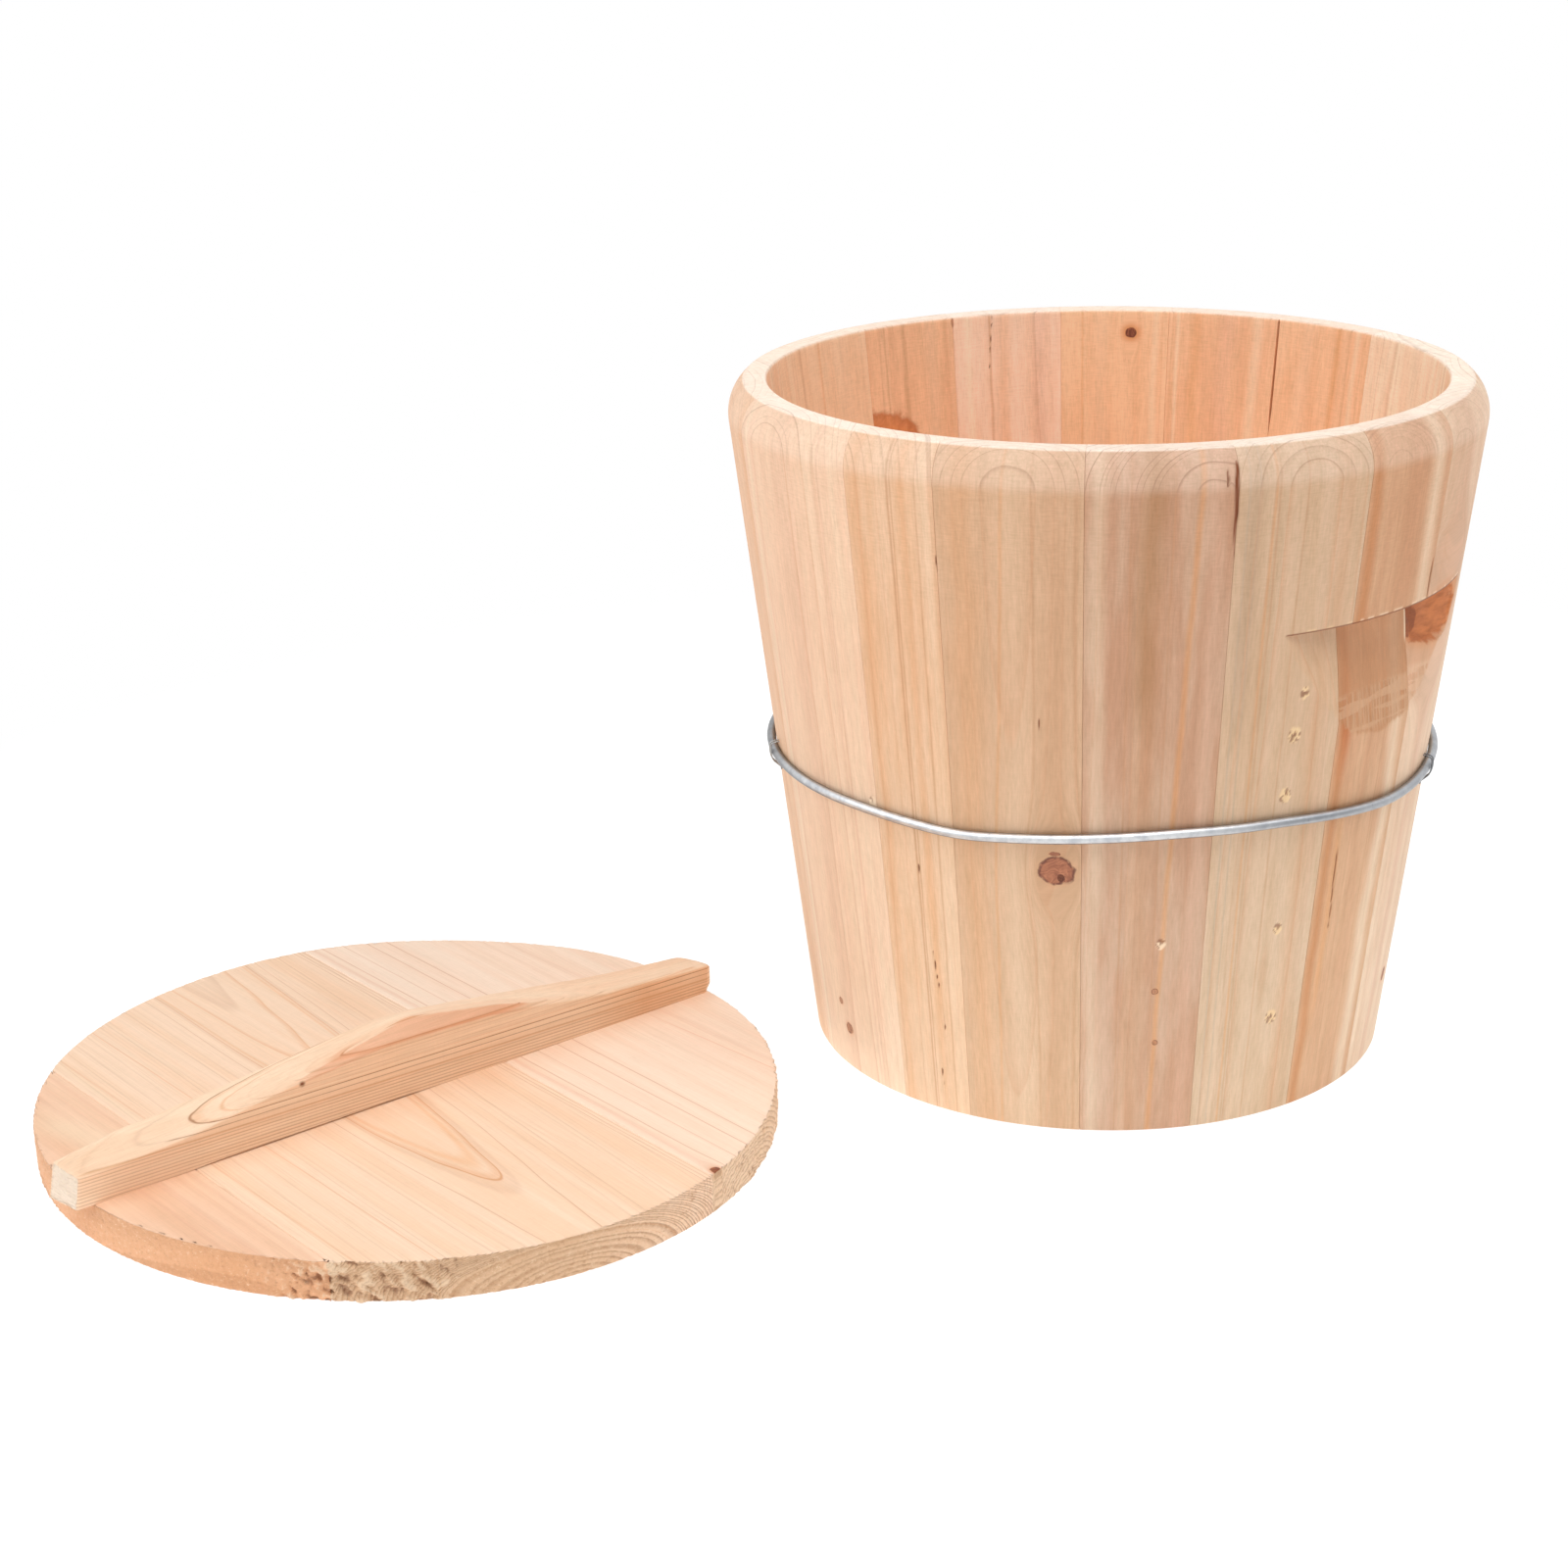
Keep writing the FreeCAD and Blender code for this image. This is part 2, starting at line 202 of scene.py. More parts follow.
def noise(x, y, z, seed=0):
    """Smooth noise from -1 to 1. Random values stand at whole-number places, and between them they are
    blended with the weight 3f^2 - 2f^3, where f is the fraction of the way to the next place."""
    if seed not in NOISE_TABLES:
        NOISE_TABLES[seed] = np.random.default_rng(seed).uniform(-1, 1, (TABLE_SIZE,) * 3)
    places = np.stack(np.broadcast_arrays(x, y, z)).astype(float)
    whole = np.floor(places).astype(int)
    part = places - whole
    weight = part * part * (3 - 2 * part)
    total = 0
    for step in np.ndindex(2, 2, 2):
        corner = tuple((whole[axis] + step[axis]) % TABLE_SIZE for axis in range(3))
        shares = [weight[axis] if step[axis] else 1 - weight[axis] for axis in range(3)]
        total = total + shares[0] * shares[1] * shares[2] * NOISE_TABLES[seed][corner]
    return total


def rough(x, y, z, seed=0, octaves=3):
    """Noise added to itself at half the size and half the strength, a few times over."""
    total = 0
    for octave in range(octaves):
        finer = 2 ** octave
        total = total + noise(x * finer, y * finer, z * finer, seed + octave) / finer
    return total


def ease(low, high, number):
    """0 below low, 1 above high, and an S-shaped step between them."""
    part = np.clip((number - low) / (high - low), 0, 1)
    return part * part * (3 - 2 * part)


# ---------------------------------------------------------------- meshes


def grid_faces(rows, columns, wrap_rows=False, wrap_columns=False):
    """Four-cornered faces between neighbours of a grid whose points are numbered row by row."""
    numbers = np.arange(rows * columns).reshape(rows, columns)
    if wrap_rows:
        numbers = np.concatenate([numbers, numbers[:1]])
    if wrap_columns:
        numbers = np.concatenate([numbers, numbers[:, :1]], axis=1)
    corners = [numbers[:-1, :-1], numbers[:-1, 1:], numbers[1:, 1:], numbers[1:, :-1]]
    return np.stack(corners, axis=-1).reshape(-1, 4)


def solid(name, points, quads, caps=(), masks=None, sharp_angle=32):
    """A closed piece from points in millimetres, four-cornered faces and a few faces with many corners.
    Its faces are turned to point outwards. Masks are numbers for each point that its material reads."""
    rings = [np.asarray(cap) for cap in caps]
    corners = np.concatenate([quads.ravel()] + rings)
    sizes = np.array([4] * len(quads) + [len(ring) for ring in rings])
    starts = np.concatenate([[0], np.cumsum(sizes)[:-1]])
    origin = points[quads[:, 0]]
    arms = [points[quads[:, corner]] - origin for corner in (1, 2, 3)]
    volume = np.einsum("ij,ij->", origin, np.cross(arms[0], arms[1]) + np.cross(arms[1], arms[2]))
    mesh = bpy.data.meshes.new(name)
    mesh.vertices.add(len(points))
    mesh.vertices.foreach_set("co", (points * MM).ravel())
    mesh.loops.add(len(corners))
    mesh.loops.foreach_set("vertex_index", corners.astype(np.int32))
    mesh.polygons.add(len(sizes))
    mesh.polygons.foreach_set("loop_start", starts.astype(np.int32))
    mesh.update(calc_edges=True)
    if volume < 0:
        mesh.flip_normals()
    for mask, numbers in (masks or {}).items():
        mesh.attributes.new(mask, "FLOAT", "POINT").data.foreach_set("value", numbers.ravel())
    mesh.shade_smooth()
    mesh.set_sharp_from_angle(angle=math.radians(sharp_angle))
    piece = bpy.data.objects.new(name, mesh)
    bpy.context.scene.collection.objects.link(piece)
    return piece


def dress(piece, body, slot, material, *nodes):
    """Lets a piece stand for CAD nodes, in its material and on its body."""
    piece.data.materials.append(material)
    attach(piece, body)
    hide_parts(*nodes)
    return piece


# ---------------------------------------------------------------- node trees


class Nodes:
    """Short calls that add nodes to a tree. Each call returns an output of the new node."""

    def __init__(self, tree):
        self.tree = tree

    def add(self, kind, *inputs, output=0, **choices):
        node = self.tree.nodes.new("ShaderNode" + kind)
        for choice, setting in choices.items():
            setattr(node, choice, setting)
        for place, given in enumerate(inputs):
            self.give(node.inputs[place], given)
        return node.outputs[output]

    def give(self, socket, given):
        if isinstance(given, NodeSocket):
            self.tree.links.new(given, socket)
        elif given is not None:
            socket.default_value = given

    def math(self, operation, *inputs, clamp=False):
        return self.add("Math", *inputs, operation=operation, use_clamp=clamp)

    def times(self, first, *others):
        """The product of two or more numbers."""
        for other in others:
            first = self.math("MULTIPLY", first, other)
        return first

    def plus(self, first, *others):
        """The sum of two or more numbers."""
        for other in others:
            first = self.math("ADD", first, other)
        return first

    def minus(self, first, second):
        return self.math("SUBTRACT", first, second)

    def vector(self, operation, *inputs):
        output = 1 if operation in ("LENGTH", "DISTANCE", "DOT_PRODUCT") else 0
        return self.add("VectorMath", *inputs, operation=operation, output=output)

    def split(self, vector):
        node = self.add("SeparateXYZ", vector).node
        return node.outputs[0], node.outputs[1], node.outputs[2]

    def join(self, x=0.0, y=0.0, z=0.0):
        return self.add("CombineXYZ", x, y, z)

    def step(self, number, low, high):
        """0 below low, 1 above high, and an S-shaped step between. With low above high it falls."""
        return self.add("MapRange", number, low, high, 0.0, 1.0, interpolation_type="SMOOTHSTEP")

    def mix(self, share, first, second, blend="MIX"):
        """A blend of two colours."""
        node = self.add("Mix", share, data_type="RGBA", blend_type=blend).node
        self.give(node.inputs[6], first)
        self.give(node.inputs[7], second)
        return node.outputs[2]

    def tint(self, color, other, *shares):
        """A colour with some of another one over it: as much as the product of the shares."""
        return self.mix(self.times(*shares), color, other)

    def noise(self, vector, scale=1.0, detail=2.0, roughness=0.5, color=False):
        node = self.add("TexNoise", vector, None, scale, detail, roughness).node
        return node.outputs[1 if color else 0]

    def mask(self, name):
        """Numbers that the piece's own points hold."""
        return self.add("Attribute", attribute_name=name, output=2)

    def use(self, group, **given):
        """A group's outputs by name. Inputs are given by their names, with _ for a space."""
        node = self.tree.nodes.new("ShaderNodeGroup")
        node.node_tree = group
        for name, number in given.items():
            self.give(node.inputs[name.replace("_", " ")], number)
        return node.outputs


def shared_group(name, inputs, masks, vectors=()):
    """A new node group with named sockets. Inputs are pairs of a name and a default number or vector, and
    the outputs are named as masks or as vectors."""
    tree = bpy.data.node_groups.new(name, "ShaderNodeTree")
    for label, default in inputs:
        kind = "NodeSocketFloat" if isinstance(default, (int, float)) else "NodeSocketVector"
        socket = tree.interface.new_socket(name=label, in_out="INPUT", socket_type=kind)
        socket.default_value = default
    for label in masks:
        tree.interface.new_socket(name=label, in_out="OUTPUT", socket_type="NodeSocketFloat")
    for label in vectors:
        tree.interface.new_socket(name=label, in_out="OUTPUT", socket_type="NodeSocketVector")
    nodes = Nodes(tree)
    given = {socket.name: socket for socket in tree.nodes.new("NodeGroupInput").outputs}
    result = {socket.name: socket for socket in tree.nodes.new("NodeGroupOutput").inputs}
    return tree, nodes, given, result


def srgb(red, green, blue):
    """A colour written as 0 to 255, as the linear numbers that a shader takes."""
    def linear(part):
        part = part / 255
        return part / 12.92 if part <= 0.04045 else ((part + 0.055) / 1.055) ** 2.4
    return linear(red), linear(green), linear(blue), 1.0


# ---------------------------------------------------------------- shared groups

FAR = 9999.0         # further than any board reaches, so that a stripe has no end


def growth_rings_group():
    """The rings of a tree through a board. A point's Distance from the pith is divided by the ring width.
    The whole part numbers the ring, and the fraction, which is Part, darkens towards the ring's late wood.
    Late has a strength of its own for each ring, Edge is thinner and more even, and Even is the same on
    each ring. Tone is a random number for each ring."""
    tree, n, given, result = shared_group(
        "growth rings",
        [("Vector", (0, 0, 0)), ("Pith", (0, 0, 0)), ("Lean", (0, 0, 0)), ("Flatness", 1.0),
         ("Inner Width", 3.5), ("Outer Width", 3.5), ("Change", 50.0), ("Waver", 1.0), ("Uneven", 2.2),
         ("Sharpness", 6.0), ("Seed", 0.0)],
        ["Late", "Edge", "Even", "Part", "Tone", "Distance"])
    x, y, z = n.split(given["Vector"])
    lean_x, lean_y, _ = n.split(given["Lean"])
    drift = n.join(n.times(lean_x, z), n.times(lean_y, z))
    across = n.vector("SUBTRACT", n.vector("SUBTRACT", n.join(x, y), given["Pith"]), drift)
    slow = n.join(n.times(x, 0.035), n.times(y, 0.035), n.times(z, 0.006))
    moved = n.vector("ADD", slow, n.join(given["Seed"], 0.0, given["Seed"]))
    sway = n.vector("SUBTRACT", n.noise(moved, 1.0, 2.0, color=True), (0.5, 0.5, 0.5))
    strength = n.times(given["Waver"], 4.0)
    swayed = n.vector("ADD", across, n.vector("MULTIPLY", sway, n.join(strength, strength)))
    flat = n.vector("MULTIPLY", swayed, n.join(given["Flatness"], 1.0))
    distance = n.vector("LENGTH", flat)
    beyond = n.math("MAXIMUM", n.minus(distance, given["Change"]), 0.0)
    within = n.minus(distance, beyond)
    count = n.plus(n.math("DIVIDE", within, given["Inner Width"]),
                   n.math("DIVIDE", beyond, given["Outer Width"]))
    uneven = n.add("TexNoise", None, n.plus(n.times(count, 0.45), given["Seed"]), 1.0,
                   noise_dimensions="1D")
    rings = n.plus(count, n.times(uneven, given["Uneven"]))
    part = n.math("FRACT", rings)
    ring = n.plus(n.math("FLOOR", rings), given["Seed"])
    tone = n.add("TexWhiteNoise", None, ring, noise_dimensions="1D")
    rise = n.math("POWER", part, given["Sharpness"])
    fall = n.step(part, 1.0, 0.94)
    strong = n.plus(n.times(n.math("POWER", tone, 1.6), 0.85), 0.15)
    thin = n.times(n.step(part, 0.8, 0.95), fall)
    n.give(result["Late"], n.times(rise, fall, strong))
    n.give(result["Edge"], n.times(thin, n.plus(0.45, n.times(strong, 0.55))))
    n.give(result["Even"], n.times(n.step(part, 0.45, 0.85), fall))
    n.give(result["Part"], part)
    n.give(result["Tone"], tone)
    n.give(result["Distance"], distance)
    return tree


def fibres_group():
    """Fine fibres along a board: noise drawn out along the grain. Bands are broad, Lines narrower, Fibres
    fine, Pores are short dark dashes, and Sanding is faint marks across the grain."""
    tree, n, given, result = shared_group(
        "wood fibres",
        [("Vector", (0, 0, 0)), ("Seed", 0.0)],
        ["Bands", "Lines", "Fibres", "Pores", "Sanding"])
    moved = n.vector("ADD", given["Vector"], n.join(given["Seed"], given["Seed"], given["Seed"]))

    def drawn_out(across, along):
        return n.vector("MULTIPLY", moved, (across, across, along))

    n.give(result["Bands"], n.noise(drawn_out(0.11, 0.003), 1.0, 3.0, 0.55))
    n.give(result["Lines"], n.noise(drawn_out(0.42, 0.006), 1.0, 3.0, 0.6))
    n.give(result["Fibres"], n.noise(drawn_out(1.3, 0.05), 1.0, 3.0, 0.6))
    dashes = n.noise(drawn_out(1.7, 0.1), 1.0, 2.0, 0.5)
    n.give(result["Pores"], n.step(dashes, 0.64, 0.76))
    n.give(result["Sanding"], n.noise(drawn_out(0.22, 1.5), 1.0, 3.0, 0.65))
    return tree


def streak_group():
    """A stripe along the grain. Across is a point's place over the board and Along its place along it. The
    stripe's middle moves by Lean for each step along, and its ends fade out."""
    tree, n, given, result = shared_group(
        "grain streak",
        [("Across", 0.0), ("Along", 0.0), ("Place", 0.0), ("Lean", 0.0), ("Width", 1.0), ("Low", -FAR),
         ("High", FAR), ("Fade", 30.0), ("Seed", 0.0)],
        ["Mask"])
    sway = n.add("TexNoise", None, n.plus(n.times(given["Along"], 0.02), given["Seed"]),
                 1.0, noise_dimensions="1D")
    bend = n.times(n.minus(sway, 0.5), n.times(given["Width"], 0.8))
    middle = n.plus(given["Place"], bend, n.times(given["Lean"], given["Along"]))
    off = n.math("DIVIDE", n.math("ABSOLUTE", n.minus(given["Across"], middle)), given["Width"])
    body = n.step(off, 1.0, 0.0)
    above = n.math("DIVIDE", n.minus(given["Along"], given["Low"]), given["Fade"], clamp=True)
    below = n.math("DIVIDE", n.minus(given["High"], given["Along"]), given["Fade"], clamp=True)
    n.give(result["Mask"], n.times(body, above, below))
    return tree


def knot_group():
    """A branch through a board, along the local X axis. A point's distance from its middle is counted in
    knot radii, Tall times longer along the grain. Core is the knot, Heart its middle, Rim its dark ring
    of bark and Glow the resin around it. Spread moves points so that grain read there flows around it."""
    tree, n, given, result = shared_group(
        "knot",
        [("Vector", (0, 0, 0)), ("Place", (0, 0, 0)), ("Radius", 5.0), ("Tall", 1.0), ("Reach", 2.0)],
        ["Core", "Rim", "Glow", "Heart"], ["Spread"])
    apart = n.vector("SUBTRACT", given["Vector"], given["Place"])
    x, y, z = n.split(apart)
    ragged = n.times(n.minus(n.noise(n.join(0.0, y, z), 0.25, 2.0), 0.5), 0.4)
    low = n.math("DIVIDE", z, given["Tall"])
    distance = n.math("DIVIDE", n.vector("LENGTH", n.join(0.0, y, low)), given["Radius"])
    worn = n.plus(distance, ragged)
    n.give(result["Core"], n.step(worn, 1.02, 0.9))
    n.give(result["Rim"], n.times(n.step(worn, 1.1, 0.98), n.step(worn, 0.78, 0.92)))
    n.give(result["Glow"], n.math("POWER", n.step(distance, given["Reach"], 0.7), 2.0))
    n.give(result["Heart"], n.step(worn, 0.5, 0.1))
    closeness = n.math("DIVIDE", 1.15, n.math("MAXIMUM", distance, 1.0))
    flow = n.minus(1.0, n.math("POWER", closeness, 2.4))
    spread = n.join(x, n.times(y, n.math("MAXIMUM", flow, 0.0)), z)
    n.give(result["Spread"], n.vector("ADD", spread, given["Place"]))
    return tree


def torn_group():
    """Sawn end grain: small pits and broken fibres, as a height, with masks of its lowest places, the
    Pits, and of its highest, the Crumbs."""
    tree, n, given, result = shared_group(
        "torn end grain",
        [("Vector", (0, 0, 0)), ("Seed", 0.0)],
        ["Height", "Pits", "Crumbs"])
    moved = n.vector("ADD", given["Vector"], n.join(given["Seed"], given["Seed"]))
    coarse = n.noise(n.vector("MULTIPLY", moved, (0.75, 0.5, 0.5)), 1.0, 4.0, 0.65)
    fine = n.noise(moved, 2.2, 3.0, 0.6)
    height = n.plus(n.times(coarse, 0.65), n.times(fine, 0.35))
    n.give(result["Height"], height)
    n.give(result["Pits"], n.step(height, 0.47, 0.36))
    n.give(result["Crumbs"], n.step(height, 0.55, 0.66))
    return tree


def zinc_group():
    """Hot-dip zinc on wire: cloudy patches, fine drawing lines round it and a few dark pits."""
    tree, n, given, result = shared_group(
        "zinc",
        [("Vector", (0, 0, 0))],
        ["Cloud", "Pits", "Height"])
    cloud = n.noise(given["Vector"], 0.22, 4.0, 0.6)
    speck = n.noise(given["Vector"], 1.1, 2.0, 0.5)
    fine = n.noise(given["Vector"], 4.0, 3.0, 0.6)
    n.give(result["Cloud"], cloud)
    n.give(result["Pits"], n.step(speck, 0.72, 0.8))
    n.give(result["Height"], n.plus(fine, n.times(cloud, 0.5)))
    return tree


GROUPS = {}
GROUP_MAKERS = {
    "rings": growth_rings_group,
    "fibres": fibres_group,
    "streak": streak_group,
    "knot": knot_group,
    "torn": torn_group,
    "zinc": zinc_group,
}


def group(name):
    if name not in GROUPS:
        GROUPS[name] = GROUP_MAKERS[name]()
    return GROUPS[name]


# ---------------------------------------------------------------- wood

PEACH = srgb(240, 200, 164)
ORANGE = srgb(226, 160, 104)
BROWN = srgb(202, 148, 106)
PALE = srgb(248, 222, 190)
PINK = srgb(226, 176, 146)
GREY = srgb(196, 172, 146)
LATE = srgb(196, 132, 88)
END_LATE = srgb(140, 100, 78)
# Painted shade in torn end grain: in its pits and in the early wood torn out beside each ring.
TORN_END_SHADE = srgb(176, 126, 88)
# Painted highlight on the rim's flat top band.
BAND_HIGHLIGHT = srgb(254, 240, 226)
DARK = srgb(120, 66, 38)
CRACK = srgb(120, 60, 24)
# Painted highlight on the upward-facing rounding of the staves' rim.
RIM_HIGHLIGHT = srgb(252, 228, 208)
BARK = srgb(88, 44, 34)
KNOT = srgb(176, 112, 76)
RESIN = srgb(222, 142, 84)
SPECK = srgb(206, 140, 84)
# Painted light on the staves. Outside they are darker near the foot, in a cooler tone that stands in for
# white light bounced off the floor, and darker still higher up, which is painted shade. Inside they are
# paler, a painted light on the inner wall.
FOOT_PAINTED_BOUNCE = (0.93, 1.0, 1.05, 1)
UPPER_PAINTED_SHADE = (0.83, 0.81, 0.8, 1)
INNER_PAINTED_LIGHT = (1.09, 1.13, 1.18, 1)


def new_material(name):
    material = bpy.data.materials.new(name)
    material.use_nodes = True
    material.node_tree.nodes.clear()
    return material, Nodes(material.node_tree)


def finish_material(n, color, roughness, height, distance, specular=0.35, metallic=0.0):
    """The surface shader, with its bump from a height."""
    normal = n.add("Bump", 1.0, distance * MM, None, height).node
    shader = n.add("BsdfPrincipled").node
    n.give(shader.inputs["Base Color"], color)
    n.give(shader.inputs["Roughness"], roughness)
    n.give(shader.inputs["Metallic"], metallic)
    n.give(shader.inputs["Specular IOR Level"], specular)
    normal.inputs["Height"].default_value = 0
    n.give(normal.inputs["Height"], height)
    n.give(shader.inputs["Normal"], normal.outputs[0])
    output = n.tree.nodes.new("ShaderNodeOutputMaterial")
    n.give(output.inputs[0], shader.outputs[0])

# What a look and a knot say where they name nothing else. Strengths run from 0 to 1. Places, widths and
# reaches are millimetres, but a knot's reach is counted in its radii.
PLAIN_LOOK = dict(
    seed=0.0, lean=(0, 0, 0), mid=0.0, flatness=1.0, change=50.0, waver=0.6, uneven=2.2, sharpness=6.0,
    ring_tone=0.18, tone_color=PEACH, streaks=(), knots=(), ring_marks=(), cut=0.6, rounding_highlight=0.22, late=0.5,
    late_color=LATE, end_even=0.0, end_late=0.32, end_shade=0.0, end_tone=BROWN, early_wood_shadow=0.0, lines=0.22,
    fibre=0.32, pits=0.5, pale_color=PALE, bump=0.12)
PLAIN_KNOT = dict(
    reach=2.0, tall=1.0, flow=2.2, glow=0.45, core=0.9, rim=0.75, heart=0.3, inside=False, in_cut=False,
    color=KNOT, dark=BARK, glow_color=RESIN, rim_color=BARK, swirl=14.0, strokes=(1, 1, 1), grain=0.8,
    contrast=(0.35, 0.68), gaps=(0.36, 0.56))


def wood_place(n, heading, middle, radial):
    """A point's place in its board in millimetres: out from the bucket's axis, or up through a lid or
    bottom board, then across the board, then along the grain."""
    place = n.add("TexCoord", output=3)
    turned = n.add("Mapping", place, None, (0, 0, -math.radians(heading)), (1 / MM,) * 3).node
    if radial:
        return turned.outputs[0]
    n.give(turned.inputs[0], n.vector("SUBTRACT", place, (middle[0] * MM, middle[1] * MM, 0)))
    across, along, up = n.split(turned.outputs[0])
    return n.join(up, across, along)


def wood_knots(n, look, local):
    """Each knot with its masks, and the point moved so that the grain read there flows around them all."""
    vector = local
    knots = []
    for given in look["knots"]:
        knot = PLAIN_KNOT | given
        shape = dict(Place=knot["place"], Radius=knot["radius"], Reach=knot["reach"])
        knots.append((knot, n.use(group("knot"), Vector=local, Tall=knot["tall"], **shape)))
        if knot["flow"]:
            vector = n.use(group("knot"), Vector=vector, Tall=knot["flow"], **shape)["Spread"]
    return knots, vector


def board_color(n, look, rings, fibres, across, along, cut):
    """A board's own colour: broad bands, a tone for each ring, stripes along the grain, and what shows
    where the wood is cut away."""
    color = n.mix(n.step(fibres["Bands"], 0.35, 0.65), look["light"], look["deep"])
    color = n.tint(color, look["tone_color"], n.step(rings["Tone"], 0.3, 0.9), look["ring_tone"])
    for number, (spot, width, strength, other, *rest) in enumerate(look["streaks"]):
        lean, low, high = tuple(rest) + (0.0, -FAR, FAR)[len(rest):]
        mask = n.use(group("streak"), Across=across, Along=along, Place=spot - lean * look["mid"],
                     Lean=lean, Width=width, Low=low, High=high, Seed=look["seed"] + number)["Mask"]
        color = n.tint(color, other, mask, strength)
    if "cut_color" in look:
        color = n.tint(color, look["cut_color"], cut, look["cut"])
    return color


def ring_color(n, color, look, rings, ends, plain):
    """The colour with the rings' late wood over it: soft lines on the sides, thin arcs on the ends, and
    rings with a colour of their own at set distances from the pith."""
    shown = n.times(n.minus(1.0, plain), n.minus(1.0, n.times(ends, 0.65)))
    color = n.tint(color, look["late_color"], rings["Late"], look["late"], shown)
    if "fine_lines" in look:
        strength, start = look["fine_lines"]
        beyond = n.step(rings["Distance"], start - 1, start + 1)
        color = n.tint(color, look["late_color"], beyond, rings["Even"], shown, strength)
    arcs = n.math("MAXIMUM", rings["Edge"], n.times(rings["Even"], look["end_even"]))
    color = n.tint(color, END_LATE, arcs, ends, look["end_late"])
    for level, width, strength, other, *on_side in look["ring_marks"]:
        off = n.math("ABSOLUTE", n.minus(rings["Distance"], level))
        where = shown if on_side else n.step(plain, 1.0, 0.8)
        color = n.tint(color, other, n.step(off, width, 0.0), strength, where)
    return color, shown


def fine_grain(n, color, look, fibres, upper):
    """The colour made lighter and darker by the fine fibres and the sanding, with its pores. Each noise
    less a half, times its strength, is added to 1, and the colour is multiplied by the sum."""
    def swing(noise_name, strength):
        return n.times(n.minus(fibres[noise_name], 0.5), strength)

    sanded = n.times(swing("Sanding", 0.1), n.plus(1.0, n.times(upper, 2.0)))
    light = n.plus(1.0, swing("Lines", look["lines"]), swing("Fibres", look["fibre"]), sanded)
    warm = n.plus(1.0, n.times(n.minus(light, 1.0), 1.3))
    color = n.mix(1.0, color, n.join(light, light, warm), "MULTIPLY")
    return n.tint(color, BROWN, fibres["Pores"], 0.2)


def tool_marks(n, look, local, cut):
    """A mask of the tool's marks, along and across a grip's lower end."""
    low, high = look["tool_band"]
    _, side, up = n.split(local)
    band = n.times(n.step(up, low, low + 5), n.step(up, high, high - 3))
    upright = n.noise(n.join(0.0, n.times(side, 0.9), n.times(up, 0.03)), 1.0, 2.0)
    crossing = n.noise(n.join(0.0, n.times(side, 0.03), n.times(up, 0.28)), 1.0, 1.0)
    marks = n.math("MAXIMUM", n.step(upright, 0.4, 0.6), n.step(crossing, 0.5, 0.58))
    return n.times(marks, band, cut)


def knot_color(n, color, knot, parts, local, within, cut):
    """The colour with a knot on it: the resin around it, its own streaky wood with a dark heart, and a
    broken ring of bark."""
    glow, core, rim = (n.times(parts[part], knot[part.lower()]) for part in ("Glow", "Core", "Rim"))
    limits = [within] if knot["inside"] else []
    if "above" in knot:
        limits.append(n.step(n.split(local)[0], knot["above"], knot["above"] + 1.5))
    for limit in limits:
        glow, core, rim = (n.times(part, limit) for part in (glow, core, rim))
    if knot["in_cut"]:
        glow = n.times(glow, n.plus(0.3, n.times(cut, 0.7)))
        core = n.times(core, n.plus(0.15, n.times(cut, 0.85)))
    color = n.mix(glow, color, knot["glow_color"])
    sway = n.noise(local, 0.12, 1.0, 0.5, color=True)
    swirl = n.vector("MULTIPLY", sway, (0, knot["swirl"], knot["swirl"]))
    strokes = n.vector("MULTIPLY", n.vector("ADD", local, swirl), knot["strokes"])
    spots = n.step(n.noise(strokes, knot["grain"], 3.0, 0.6), *knot["contrast"])
    inner = n.mix(spots, knot["color"], knot["dark"])
    inner = n.tint(inner, BARK, parts["Heart"], knot["heart"])
    color = n.mix(core, color, inner)
    broken = n.step(n.noise(local, 0.45, 2.0, 0.5), *knot["gaps"])
    return n.tint(color, knot["rim_color"], rim, broken)


def sawn_end(n, color, look, rings, local, across, end):
    """The colour and the height of sawn end grain: a darker tone, partly the end grain's own and partly
    painted shade, painted shadow in the torn early wood beside each ring, painted shade in the pits and a
    painted highlight on the pale crumbs."""
    torn = n.use(group("torn"), Vector=local, Seed=look["seed"])
    sawn = n.step(end, 0.5, 1.0)
    # The darker end tone is partly the end grain's own and partly painted shade, faded across the board
    # where end_fade is given.
    shade = [sawn, look["end_shade"]]
    if "end_fade" in look:
        shade.append(n.step(across, *look["end_fade"]))
    color = n.tint(color, look["end_tone"], *shade)
    early = n.times(n.step(rings["Part"], 0.3, 0.75), n.step(rings["Part"], 0.95, 0.85))
    # Painted shadow in the torn early wood beside each ring's late wood.
    color = n.tint(color, TORN_END_SHADE, early, n.step(torn["Height"], 0.78, 0.42), sawn, look["early_wood_shadow"])
    # Painted shade in the pits.
    color = n.tint(color, TORN_END_SHADE, torn["Pits"], sawn, look["pits"])
    # Painted highlight on the raised crumbs.
    color = n.tint(color, PALE, torn["Crumbs"], sawn, 0.55)
    return color, n.times(n.plus(n.times(torn["Height"], 5.0), n.times(early, -1.6)), sawn)


